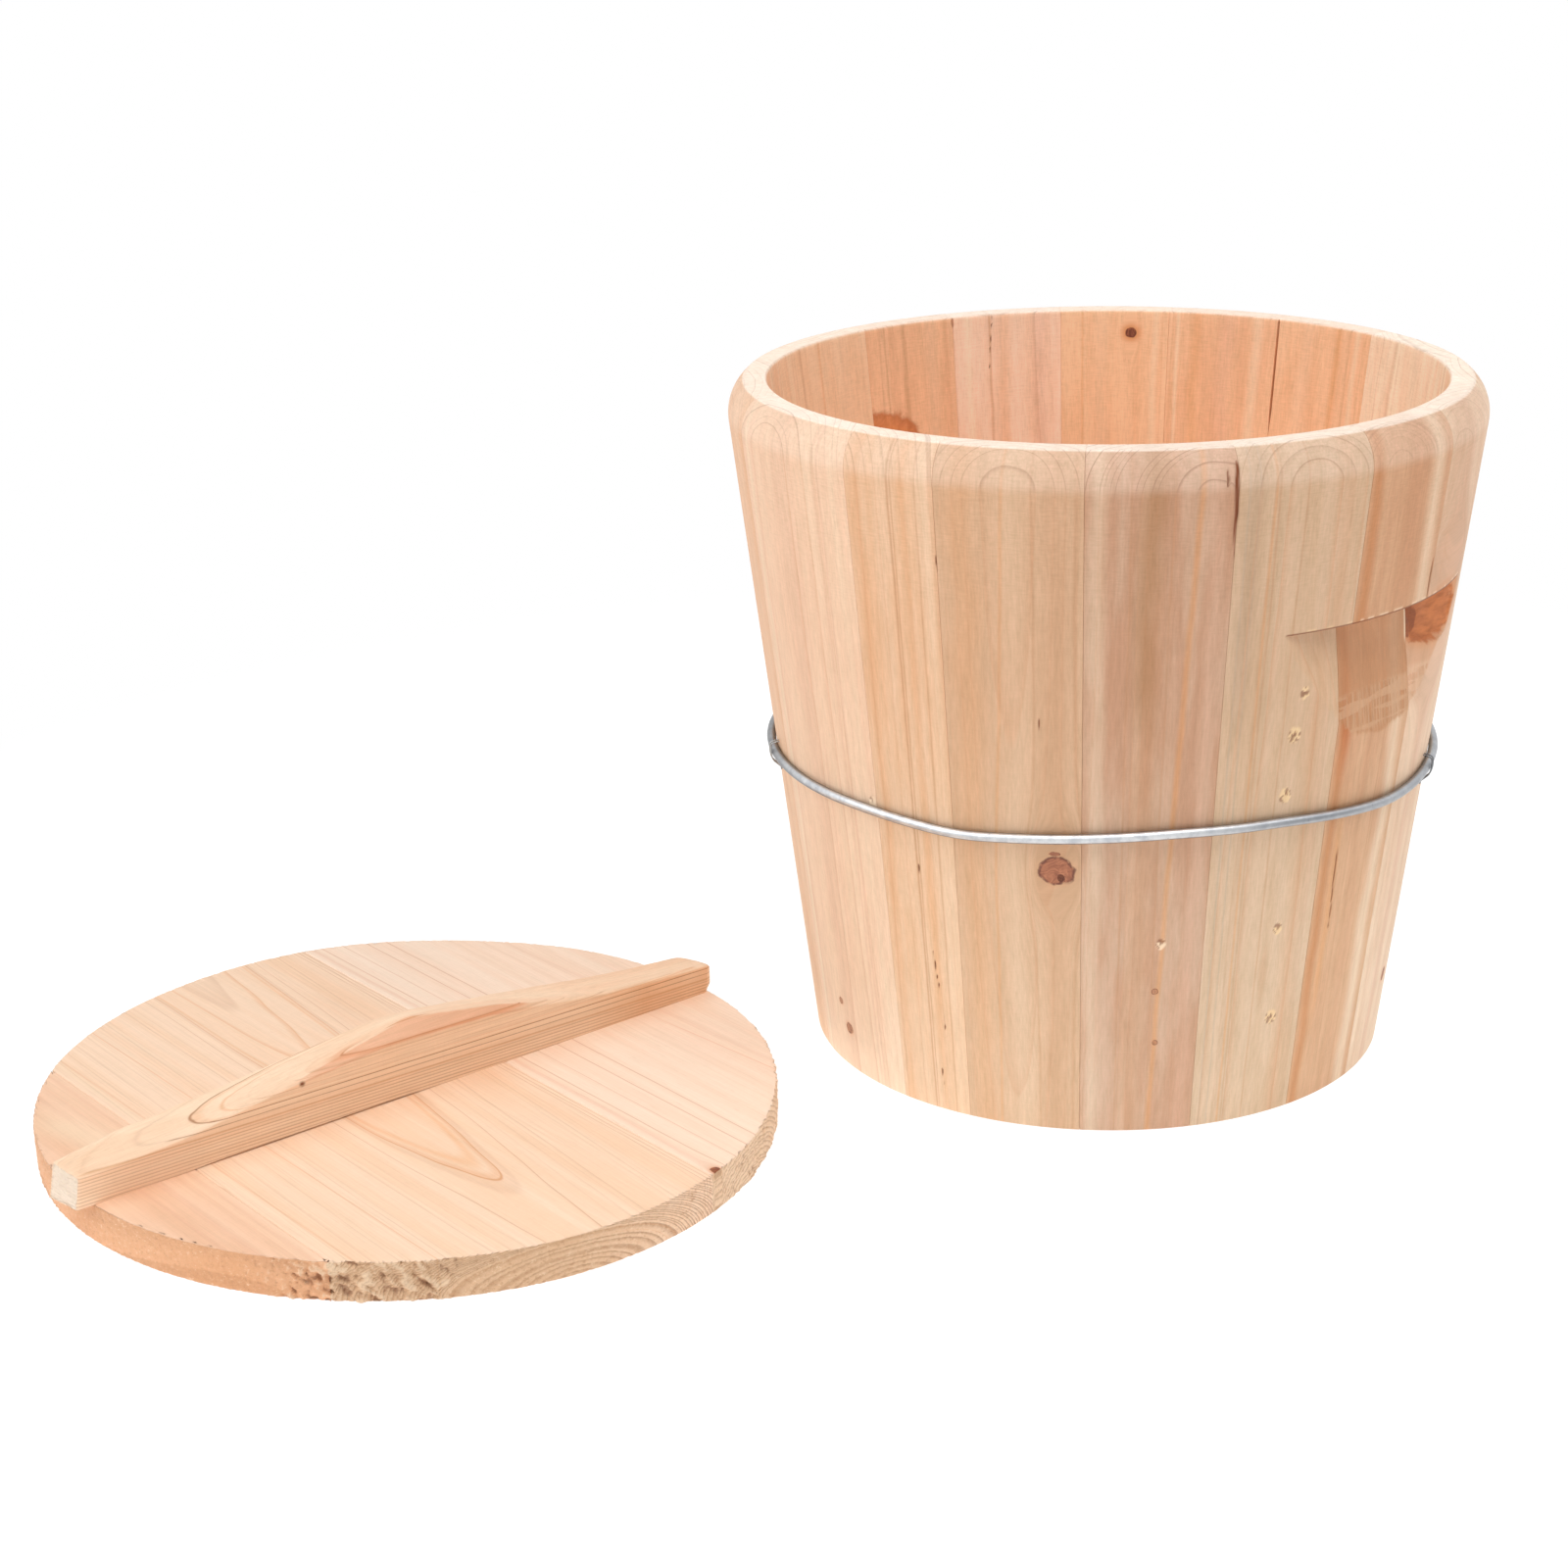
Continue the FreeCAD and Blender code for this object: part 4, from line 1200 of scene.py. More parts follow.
def stave_look(name, heading):
    """A stave's look, with its streaks counted from its middle heading and its pith leaning as the wall."""
    look = dict(STAVE_LOOKS[name])
    look["streaks"] = [((place - heading + 180) % 360 - 180, *rest) for place, *rest in look["streaks"]]
    radius, across, _ = look["pith"]
    lean, side, _ = look.get("lean", (0, 0, 0))
    look["pith"] = (radius - FLARE * HEIGHT, across, 0)
    look["lean"] = (FLARE + lean, side, 0)
    look["mid"] = HEIGHT / 2
    return look


class FIRKIN_OT_staves(Operator):
    """Makes the sixteen staves, each with its own grain, joints and marks"""

    bl_idname = "firkin.staves"
    bl_label = "Staves"

    def execute(self, context):
        for node in STAVES:
            start, end = node_headings(node)
            heading = (start + end) / 2
            piece = stave_mesh("wall_" + node, start, end)
            material = wood(node + "_wood", stave_look(node, heading), heading)
            dress(piece, "bucket", "fir_stave", material, node)
        return {"FINISHED"}


# ---------------------------------------------------------------- boards

# Where the saw strayed from the lid's oval: headings counted from the batten, and by how much.
STRAY = ((-180, 0.9), (-160, 0.4), (-133, -0.4), (-106, 0.9), (-88, 0.3), (-55, -0.4), (-25, 0.9),
         (-5, 1.2), (25, 1.2), (47, -1.4), (71, 1.1), (100, -0.5), (135, 1.2), (160, 1.2), (180, 0.9))


# Where along the way from a board's middle to its edge the rings of its two flat faces lie.
FACE_SHARES = np.array([0.35, 0.7, 0.9, 0.975])


def smooth_line(places, knots, softness):
    """Straight runs through the knots, with their corners rounded by averaging over a short stretch."""
    given = np.array(knots)
    offsets = np.linspace(-softness, softness, 9)
    return np.mean([np.interp(places + offset, given[:, 0], given[:, 1]) for offset in offsets], axis=0)


def laid(first, second, heading, middle):
    """X and Y of places counted along two directions at right angles, the first of them at a heading."""
    turned = math.radians(heading)
    x = middle[0] + first * math.cos(turned) - second * math.sin(turned)
    y = middle[1] + first * math.sin(turned) + second * math.cos(turned)
    return x, y


def board_outline(low, high, half_width, half_length, step, stray=False):
    """A board's outline, counter-clockwise, with a mask of its sawn arcs: the part of an oval between two
    places across it. The arcs' points follow the oval's angle, and the straight sides' points are even."""
    left = low > 1 - half_width
    right = high < half_width - 1
    low_angle = math.acos(low / half_width) if left else math.pi
    high_angle = math.acos(high / half_width) if right else 0.0
    count = max(int((low_angle - high_angle) * half_length / step), 8)
    upper = np.linspace(high_angle, low_angle, count)
    runs = []
    for angles, has_side, place in ((upper, left, low), (-upper[::-1], right, high)):
        arc = np.stack([half_width * np.cos(angles), half_length * np.sin(angles), np.ones(count)], axis=1)
        runs.append(arc if has_side else arc[:-1])
        if has_side:
            reach = arc[-1, 1]
            side = np.linspace(reach, -reach, max(int(2 * abs(reach) / 3), 4))[1:-1]
            runs.append(np.stack([np.full(len(side), place), side, np.zeros(len(side))], axis=1))
    loop = np.concatenate(runs)
    on_arc = loop[:, 2]
    loop = loop[:, :2]
    if stray:
        turn = np.degrees(np.arctan2(loop[:, 1], loop[:, 0]))
        away = smooth_line(turn, STRAY, 6) * on_arc
        loop = loop * (1 + away / np.hypot(loop[:, 0], loop[:, 1]))[:, None]
    loop[:, 0] = np.clip(loop[:, 0], low if left else -FAR, high if right else FAR)
    return loop, on_arc


def board_mesh(name, loop, on_arc, bottom, top, tear, place, heading, bevel=0.4, side_gap=0.05, step=0.55):
    """A flat board: its outline carried up through an upright section, from the middle of its underside
    over its edges to the middle of its top. On the arcs the saw has torn the edge by up to tear."""
    middle = loop.mean(axis=0)
    normals = loop_normals(loop)
    levels = np.linspace(bottom + bevel, top - bevel, max(int((top - bottom) / step), 6))
    face = [bevel] * (len(FACE_SHARES) + 1)
    insets = face + [0] * len(levels) + face
    scales = [*FACE_SHARES, 1] + [1] * len(levels) + [1, *FACE_SHARES[::-1]]
    lifts = [bottom] * len(face) + [*levels] + [top] * len(face)
    insets, scales, lifts = (np.array(row)[:, None] for row in (insets, scales, lifts))
    on_edge = (insets == 0) * np.ones(len(loop))
    turn = np.degrees(np.arctan2(loop[:, 1], loop[:, 0]))
    ragged = tear_relief(turn[None, :] + heading, loop[None, :, 0], loop[None, :, 1], lifts)
    torn_out = np.where(on_arc[None, :] * on_edge > 0, ragged * tear, 0)
    near_edge = (scales == 1) * (insets > 0) * on_arc[None, :]
    chipped = near_edge * tear * np.clip(rough(loop[None, :, 0] / 2, loop[None, :, 1] / 2, lifts, 21), 0, 1)
    away = insets + side_gap * (1 - on_arc[None, :]) - torn_out + chipped * 0.9
    away = (away * (scales == 1))[..., None]
    flat = middle + (loop - middle)[None] * scales[..., None] - normals[None] * away
    shrink = 1 - (insets + side_gap) / np.hypot(*(loop - middle).T)[None, :]
    flat = np.where((scales < 1)[..., None], middle + (flat - middle) * shrink[..., None], flat)
    x, y = laid(flat[..., 0], flat[..., 1], heading, place)
    points = np.stack([x, y, np.broadcast_to(lifts, x.shape)], axis=-1)
    rows, columns = len(lifts), len(loop)
    quads = grid_faces(rows, columns, wrap_columns=True)
    caps = [np.arange(columns)[::-1], np.arange(columns) + (rows - 1) * columns]
    end = on_edge * on_arc[None, :]
    # Painted shade in the torn edge's pits goes into the crack mask, and a painted highlight on its raised
    # chips goes into the pale mask.
    torn_pit_shade = np.where(end > 0, ease(-0.2, -0.7, ragged), 0)
    torn_chip_highlight = np.where(end > 0, ease(0.4, 0.85, ragged), 0)
    masks = {"end_grain": end, "crack": torn_pit_shade * 0.55, "pale": torn_chip_highlight * 0.6}
    return solid(name, points.reshape(-1, 3), quads, caps, masks)


def tear_relief(turn, x, y, z):
    """The sawn edge of the lid, from -1 to 1: chunks torn out on the left of its front, fine fibres
    elsewhere."""
    turn = (turn + 180) % 360 - 180
    chunky = ease(-108, -98, turn) * ease(-74, -82, turn)
    right = ease(-36, -26, turn) * ease(40, 10, turn)
    slant = z * 0.8
    chunks = rough((x + slant) / 2.8, y / 2.8, z / 3.5, 31, 4)
    ridged = 1 - 2 * np.abs(noise((x + slant) / 3.4, y / 3.4, z / 5, 37))
    fine = rough(x / 0.9, y / 0.9, z / 1.6, 41, 2) * 0.25
    return fine + chunky * (chunks * 0.8 + ridged * 0.7) + right * chunks * 0.35 + 0.15 * chunks


LID_LOOKS = {
    "lid_board_1": dict(
        light=srgb(246, 206, 176), deep=srgb(243, 200, 168), pith=(-24, -134, 0), width=12.0, seed=21.0,
        rounding_highlight=0, early_wood_shadow=0.2, end_late=0.8, end_even=0.25, pits=0.4, lines=0.14, fibre=0.2, late=0.35,
        ring_tone=0.1, sharpness=8.0, end_shade=0.7, end_tone=srgb(224, 162, 112), waver=1.0, uneven=1.0,
        tone_color=PALE,
        streaks=((-134, 13.0, 0.4, srgb(222, 164, 122)), (-125, 3.0, 0.3, PINK), (-133, 1.2, 0.4, PINK),
                 (-112, 1.6, 0.25, PINK), (-128, 16.0, 0.6, PALE, 0.0, 0, 90))),
    "lid_board_2": dict(
        light=srgb(250, 218, 190), deep=srgb(248, 211, 179), pith=(-1.1, -20.5, 0), lean=(0.011, 0.045, 0),
        rounding_highlight=0, end_fade=(50.0, -40.0), early_wood_shadow=0.3, end_late=0.75, end_even=0.6,
        late_color=srgb(196, 150, 116), flatness=2.5, width=5.0, outer_width=1.55, seed=22.0, late=0.6,
        ring_tone=0.1, waver=0.35, uneven=1.2, sharpness=5.0, end_shade=0.75, end_tone=srgb(212, 172, 132),
        lines=0.12, tone_color=PALE, fibre=0.2,
        ring_marks=((47.75, 0.09, 0.8, srgb(212, 152, 106)), (47.6, 0.35, 0.3, ORANGE),
                    (46.9, 0.45, 0.45, srgb(238, 180, 128)), (50.6, 0.09, 0.6, srgb(212, 156, 114)),
                    (43.05, 0.12, 0.5, srgb(228, 172, 122)), (42.9, 0.4, 0.3, ORANGE)),
        streaks=((-104, 2.5, 0.25, PALE), (-101, 0.8, 0.3, ORANGE), (-77, 0.5, 0.5, ORANGE),
                 (20, 14, 0.1, ORANGE, 0.0, -60, 120), (36.2, 0.35, 0.5, srgb(206, 154, 114)),
                 (38.0, 0.35, 0.55, srgb(206, 154, 114)), (39.8, 0.35, 0.5, srgb(206, 154, 114)))),
    "lid_board_3": dict(
        light=srgb(253, 228, 206), deep=srgb(251, 221, 197), pith=(-12, 74, 0), width=2.2, seed=23.0, rounding_highlight=0,
        lean=(0.004, 0, 0), flatness=1.2, late=0.15, ring_tone=0.08, waver=0.3, uneven=1.2, end_late=0.85,
        end_even=0.75, early_wood_shadow=0.2, lines=0.12, fibre=0.2, end_shade=0.6, end_tone=srgb(226, 194, 156),
        tone_color=PALE,
        knots=(dict(place=(17, 45, -152.5), radius=2.4, tall=1.5, flow=3.0, reach=2.0, glow=0.6, core=0.95,
                    above=13.0, color=srgb(150, 82, 44), heart=0.0, dark=srgb(120, 60, 34)),),
        streaks=((49, 0.5, 0.5, LATE), (58, 0.4, 0.4, LATE), (68, 0.5, 0.5, LATE), (76, 0.5, 0.5, LATE),
                 (116, 0.5, 0.5, srgb(232, 168, 128), -0.06, -130, -10), (122, 3.0, 0.15, PINK, -0.06),
                 (45, 2.0, 0.3, PINK))),
}


def board_reach(node, middle, heading):
    """How far a board reaches across the lid or the bottom, from its middle."""
    turned = math.radians(heading)
    across = (node_points(node)[:, :2] - middle) @ np.array([math.cos(turned), math.sin(turned)])
    return across.min(), across.max()


class FIRKIN_OT_lid_boards(Operator):
    """Makes the three boards of the lid, with planed tops and a torn edge"""

    bl_idname = "firkin.lid_boards"
    bl_label = "Lid boards"

    def execute(self, context):
        lid = settings().lid
        for node in LID_BOARDS:
            low, high = board_reach(node, LID_MIDDLE, LID_HEADING)
            loop, on_arc = board_outline(low, high, lid.half_width / MM, lid.half_length / MM, 0.6, True)
            piece = board_mesh("sawn_" + node, loop, on_arc, 0, LID_TOP, lid.edge_tear / MM, LID_MIDDLE,
                               LID_HEADING)
            material = wood(node + "_wood", LID_LOOKS[node], LID_HEADING, LID_MIDDLE, radial=False)
            dress(piece, "lid", "fir_lid", material, node)
        return {"FINISHED"}


BOTTOM_HEADING = 24.0
BOTTOM_LOOKS = {
    1: dict(light=srgb(234, 190, 148), deep=PEACH, pith=(-40, -100, 0), width=4.0, seed=31.0),
    2: dict(light=srgb(238, 200, 160), deep=PEACH, pith=(-30, -20, 0), width=3.6, seed=32.0),
    3: dict(light=srgb(230, 184, 140), deep=PEACH, pith=(60, 30, 0), width=3.8, seed=33.0),
    4: dict(light=srgb(236, 196, 156), deep=PEACH, pith=(-40, 120, 0), width=4.2, seed=34.0),
}


class FIRKIN_OT_bottom_boards(Operator):
    """Makes the boards of the bottom"""

    bl_idname = "firkin.bottom_boards"
    bl_label = "Bottom boards"

    def execute(self, context):
        middle = np.zeros(2)
        for number, node in enumerate(BOTTOM_BOARDS, start=1):
            low, high = board_reach(node, middle, BOTTOM_HEADING)
            loop, on_arc = board_outline(low, high, BOTTOM_REACH, BOTTOM_REACH, 2.0)
            piece = board_mesh("planed_" + node, loop, on_arc, BOTTOM_LOW, BOTTOM_TOP, 0.0, middle,
                               BOTTOM_HEADING, step=3.0)
            material = wood(node + "_wood", BOTTOM_LOOKS[number], BOTTOM_HEADING, middle, radial=False)
            dress(piece, "bucket", "fir_bottom", material, node)
        return {"FINISHED"}


# ---------------------------------------------------------------- the batten

# The batten's shape along the lid, from its left end to its right. Front is the height of its upright
# front face, Ridge the place across and the height of the crest's front edge, and Back its back edge.
BATTEN_ENDS = (-160.0, 154.0)
BATTEN_SIDES = (-12.0, 6.0)
BATTEN_FRONT = ((-160, 29.2), (-111, 31.4), (-57, 39.0), (-14, 43.0), (17, 41.8), (35, 41.2), (50, 38.6),
                (95, 32.2), (154, 28.8))
RIDGE_ACROSS = ((-160, -11.0), (-60, -11.0), (-2, -5.0), (20, -8.2), (44, -10.6), (154, -10.6))
RIDGE_HEIGHT = ((-160, 30.0), (-111, 32.2), (-59, 39.8), (-2, 48.8), (20, 46.4), (40, 43.8), (58, 39.0),
                (95, 33.0), (154, 29.4))
BATTEN_BACK = ((-160, 31.4), (-146, 34.2), (-128, 36.8), (-115, 37.9), (-96, 39.6), (-73, 41.6),
               (-58, 43.2), (-38, 45.0), (-18, 47.2), (-4, 47.5), (10, 46.2), (25, 44.2), (50, 41.2),
               (80, 37.3), (100, 34.4), (120, 31.8), (154, 29.6))
# Small dark pin knots: places along and across, their heights and sizes.
BATTEN_SPOTS = ((-57.5, -11.5, 38.0, 1.0), (-58.0, -8.0, 41.5, 0.7), (-30, -12, 42.5, 0.4))
# How many points the section has on its front, facet, crest, back and the two parts of its base. The
# crest's rows reach over the first of the back's.
BATTEN_RUNS = (26, 12, 16, 14, 6, 4)
FACET = slice(26, 38)
CREST = slice(39, 60)
# Where on the way from an end's middle to its edge the rings of the end lie.
END_SHARES = np.array([0.04, 0.2, 0.36, 0.52, 0.66, 0.78, 0.88, 0.95])


def batten_end(across, lift):
    """Where the batten's two ends are cut: the left one aslant, the right one rounded towards its back."""
    left = -159.7 + 0.17 * (lift - LID_TOP) - 0.15 * (across - BATTEN_SIDES[0])
    right = 154 - 5.5 * ((across - BATTEN_SIDES[0]) / 18) ** 2 - 2.0 * ease(LID_TOP + 4, LID_TOP, lift)
    return left, right


def batten_mesh(name):
    """Cross-sections carried along the lid, each a closed loop: the upright front, a facet up to the ridge,
    the crest, the back and the base. Both ends are closed by rings that shrink to their middles."""
    low, high = BATTEN_ENDS
    places = np.linspace(low, high, 500)
    front, back = BATTEN_SIDES
    base = np.full_like(places, LID_TOP)
    gap = LID_TOP + 0.7 * ease(-118, -95, places) * ease(14, -20, places)
    corners = [
        (np.full_like(places, front), gap),
        (np.full_like(places, front), smooth_line(places, BATTEN_FRONT, 4)),
        (smooth_line(places, RIDGE_ACROSS, 3), smooth_line(places, RIDGE_HEIGHT, 3)),
        (np.full_like(places, back - 0.5), smooth_line(places, BATTEN_BACK, 5)),
        (np.full_like(places, back), base),
        (np.full_like(places, front + 5), base),
    ]
    loop = []
    for number, count in enumerate(BATTEN_RUNS):
        start = np.stack(corners[number], axis=-1)
        end = np.stack(corners[(number + 1) % len(corners)], axis=-1)
        loop.append(start[None] + (end - start)[None] * (np.arange(count) / count)[:, None, None])
    loop = np.concatenate(loop)
    for _ in range(2):
        softer = (np.roll(loop, 1, axis=0) + 2 * loop + np.roll(loop, -1, axis=0)) / 4
        loop = np.where(loop[..., 1:] > LID_TOP + 1.5, softer, loop)
    across, lift = loop[..., 0], loop[..., 1]
    along = np.broadcast_to(places, across.shape)
    free = ease(LID_TOP + 1, LID_TOP + 3, lift)
    carved = 0.2 * noise(along / 12, across / 5, lift / 6, 51) + 0.1 * noise(along / 4, across / 2, 0, 52)
    lift = lift + carved * free
    across = across + 0.3 * carved * free
    middle = np.array([(front + back) / 2, LID_TOP + 7])
    worn = ease(3.5, 0, high - along) ** 2 + 0.4 * ease(1.2, 0, along - low) ** 2
    across = across + (middle[0] - across) * worn * 0.12
    lift = lift - np.maximum(lift - middle[1], 0) * worn * 0.14
    left, right = batten_end(across, lift)
    near = ease(10, 0, along - low)
    far = ease(10, 0, high - along)
    along = along + near * (left - low) + far * (right - high)
    columns = [(across, lift, along)]
    for column, side in ((0, -1), (-1, 1)):
        flat = END_SHARES if side < 0 else END_SHARES[::-1]
        over = middle[0] + (across[:, column, None] - middle[0]) * flat
        high_up = middle[1] + (lift[:, column, None] - middle[1]) * flat
        cut = batten_end(over, high_up)[column]
        torn = rough(over / 2.4, high_up / 2.4, 0, 53, 4) * (0.6 if side < 0 else 0.15)
        ring = over, high_up, cut + torn - side * 0.2
        columns = [ring] + columns if side < 0 else columns + [ring]
    across, lift, along = (np.concatenate(parts, axis=1) for parts in zip(*columns))
    points = np.stack([*laid(along, across, LID_HEADING, LID_MIDDLE), lift], axis=-1)
    rows, width = across.shape
    numbers = np.arange(rows * width).reshape(rows, width)
    caps = [numbers[:, 0], numbers[::-1, -1]]
    end, facet, plain = np.zeros((3, rows, width))
    end[:, :len(END_SHARES)] = 1
    end[:, -len(END_SHARES):] = 1
    facet[FACET] = ease(-66, -46, along[FACET]) * ease(62, 40, along[FACET])
    plain[CREST] = 0.8 + 0.2 * ease(-45, -10, along[CREST])
    spots = 0
    for place, side, level, size in BATTEN_SPOTS:
        away = np.sqrt(((along - place) / 1.4) ** 2 + (across - side) ** 2 + (lift - level) ** 2)
        spots = spots + ease(size + 0.4, size - 0.4, away)
    masks = {"end_grain": end, "pale": end * ease(-100, -140, along), "crack": np.clip(spots, 0, 1),
             "cut": facet, "plain": plain}
    return solid(name, points.reshape(-1, 3), grid_faces(rows, width, wrap_rows=True), caps, masks, 24)


BATTEN_LOOK = dict(
    light=srgb(250, 220, 190), deep=srgb(248, 212, 180), pith=(46.6, 10.1, 0), lean=(-0.024, 0, 0),
    width=2.6, outer_width=1.4, change=19.5, seed=41.0, rounding_highlight=0, lines=0.15, fibre=0.3, end_late=0.3,
    waver=0.1, uneven=0.3, sharpness=3.0, late_color=srgb(186, 134, 94), bump=0.2, ring_tone=0.1,
    tone_color=ORANGE, cut_color=srgb(234, 176, 140), cut=0.75, fine_lines=(0.42, 19.5),
    pale_color=srgb(252, 234, 214),
    streaks=((13.4, 2.6, 0.4, srgb(255, 212, 174)), (13.4, 2.6, 0.8, srgb(222, 150, 86), 0.0, 85, 400)),
    ring_marks=((14.9, 0.16, 0.8, srgb(150, 98, 64)), (14.6, 0.6, 0.3, ORANGE), (13.0, 0.3, 0.45, ORANGE),
                (14.9, 0.28, 0.7, srgb(160, 106, 70), True), (17.3, 0.25, 0.7, srgb(158, 104, 68), True),
                (20.0, 0.7, 0.5, srgb(214, 156, 104), True), (8.4, 0.2, 0.4, BROWN, True),
                (11.2, 0.25, 0.5, BROWN, True), (4.6, 0.24, 0.75, srgb(184, 116, 70)),
                (5.0, 1.2, 0.5, srgb(226, 152, 106))))


class FIRKIN_OT_batten(Operator):
    """Makes the humped batten that is the lid's handle"""

    bl_idname = "firkin.batten"
    bl_label = "Batten"

    def execute(self, context):
        piece = batten_mesh("carved_batten")
        material = wood("batten_wood", BATTEN_LOOK, LID_HEADING - 90, LID_MIDDLE, radial=False)
        dress(piece, "lid", "fir_batten", material, "lid_batten")
        return {"FINISHED"}


# ---------------------------------------------------------------- the hoop and its keepers

# Where the bent wire runs: headings and the heights of its middle.
HOOP_LINE = ((-180, 135), (-164.6, 135), (-137.8, 135.2), (-126.9, 134.2), (-119.2, 133), (-112, 134.3),
             (-92, 137.2), (-83.8, 138.1), (-66, 137.7), (-55, 135.4), (-41, 132.5), (-30.4, 132.7),
             (-15, 134.5), (20, 136), (70, 134.5), (120, 136), (160, 135.2), (180, 135))


# Painted reflections on the hoop: colours painted into the zinc where the room that it mirrors is dark.
PAINTED_REFLECTION_RIGHT = srgb(132, 135, 140)     # what the hoop mirrors on its right part
PAINTED_REFLECTION_MIDDLE = srgb(112, 115, 120)    # along the middle of the wire there
PAINTED_REFLECTION_RIM = srgb(112, 112, 114)       # along the wire's upper and lower rims on its left part
ZINC_PIT = srgb(50, 48, 48)
KEEPER_ZINC = srgb(186, 184, 180)


def zinc_material(name, color, roughness):
    """Zinc with cloudy patches and pits, and with painted reflections: darker where the room that it mirrors
    is dark.
    """
    material, n = new_material(name)
    place = n.vector("MULTIPLY", n.add("TexCoord", output=3), (1 / MM,) * 3)
    parts = n.use(group("zinc"), Vector=place)
    dull = (color[0] * 0.72, color[1] * 0.73, color[2] * 0.76, 1)
    shade = n.mix(n.step(parts["Cloud"], 0.3, 0.7), color, dull)
    facing = n.add("LayerWeight", 0.5, output=1)
    right = n.step(n.split(place)[0], 0.0, 100.0)
    middle = n.times(n.step(facing, 0.5, 0.2), right)
    painted_rim_reflection = n.times(n.step(facing, 0.45, 0.75), n.minus(1.0, right))
    # Painted reflections: the right part and the middle of the wire there are painted darker, and so are the
    # rims on the left part.
    shade = n.tint(shade, PAINTED_REFLECTION_RIGHT, right, 0.55)
    shade = n.tint(shade, PAINTED_REFLECTION_MIDDLE, middle, 0.8)
    shade = n.tint(shade, PAINTED_REFLECTION_RIM, painted_rim_reflection, 0.8)
    shade = n.tint(shade, ZINC_PIT, parts["Pits"], 0.85)
    rough_part = n.plus(roughness, n.times(parts["Cloud"], 0.18))
    finish_material(n, shade, rough_part, parts["Height"], 0.05, 0.5, 1.0)
    return material


def tube(name, path, radius, sides, closed):
    """A round wire along a path. Its section stands square to the path, with its first direction as near as
    it can be to +Z on a closed path, and to the normal of the path's plane on an open one."""
    ahead = np.roll(path, -1, axis=0) - np.roll(path, 1, axis=0)
    if not closed:
        ahead[0] = path[1] - path[0]
        ahead[-1] = path[-1] - path[-2]
    ahead = ahead / np.linalg.norm(ahead, axis=1)[:, None]
    up = np.tile([0.0, 0.0, 1.0] if closed else side_axis(path), (len(path), 1))
    up = up - ahead * np.sum(up * ahead, axis=1)[:, None]
    up = up / np.linalg.norm(up, axis=1)[:, None]
    side = np.cross(ahead, up)
    angles = np.linspace(0, 2 * math.pi, sides, endpoint=False)
    ring = np.cos(angles)[None, :, None] * up[:, None] + np.sin(angles)[None, :, None] * side[:, None]
    points = path[:, None] + ring * radius
    quads = grid_faces(len(path), sides, wrap_rows=closed, wrap_columns=True)
    caps = [] if closed else [np.arange(sides)[::-1], np.arange(sides) + (len(path) - 1) * sides]
    return solid(name, points.reshape(-1, 3), quads, caps, sharp_angle=50)


def side_axis(path):
    """The direction square to the plane that a flat path lies in."""
    flat = path - path.mean(axis=0)
    return np.linalg.svd(flat)[2][2]


def hoop_height(headings):
    """The height of the bent wire: smooth waves through the places that were read off."""
    line = np.array(HOOP_LINE)
    offsets = np.linspace(-4, 4, 9)
    wrapped = [(headings + offset + 180) % 360 - 180 for offset in offsets]
    return np.mean([np.interp(turn, line[:, 0], line[:, 1]) for turn in wrapped], axis=0)


def hoop_radius(heights):
    return outside(heights) + (WIRE_RADIUS + 0.05) * math.hypot(1, FLARE)


class FIRKIN_OT_hoop(Operator):
    """Makes the hoop of bent wire, pressed against the staves"""

    bl_idname = "firkin.hoop"
    bl_label = "Hoop"

    def execute(self, context):
        headings = np.linspace(-180, 180, 720, endpoint=False)
        heights = hoop_height(headings)
        radii = hoop_radius(heights) + 0.06 * (1 + noise(headings / 7, 0, 0, 61))
        turns = np.radians(headings)
        path = np.stack([radii * np.cos(turns), radii * np.sin(turns), heights], axis=1)
        piece = tube("bent_hoop", path, WIRE_RADIUS, 20, True)
        material = zinc_material("hoop_zinc", (*settings().wire.zinc, 1), 0.3)
        dress(piece, "bucket", "galvanised_wire", material, "wire_hoop")
        return {"FINISHED"}


# The keepers' headings, and how far each leans clockwise, seen from above, for each millimetre down.
KEEPER_PLACES = {"hoop_keeper_left": (-171.0, -0.12), "hoop_keeper_right": (-23.0, 0.16)}
KEEPER_HALF = 1.2    # half of a keeper's width
KEEPER_ABOVE = 4.8   # how far its upper end is above the hoop's middle
KEEPER_BELOW = 6.4   # how far its bow is below the hoop's middle


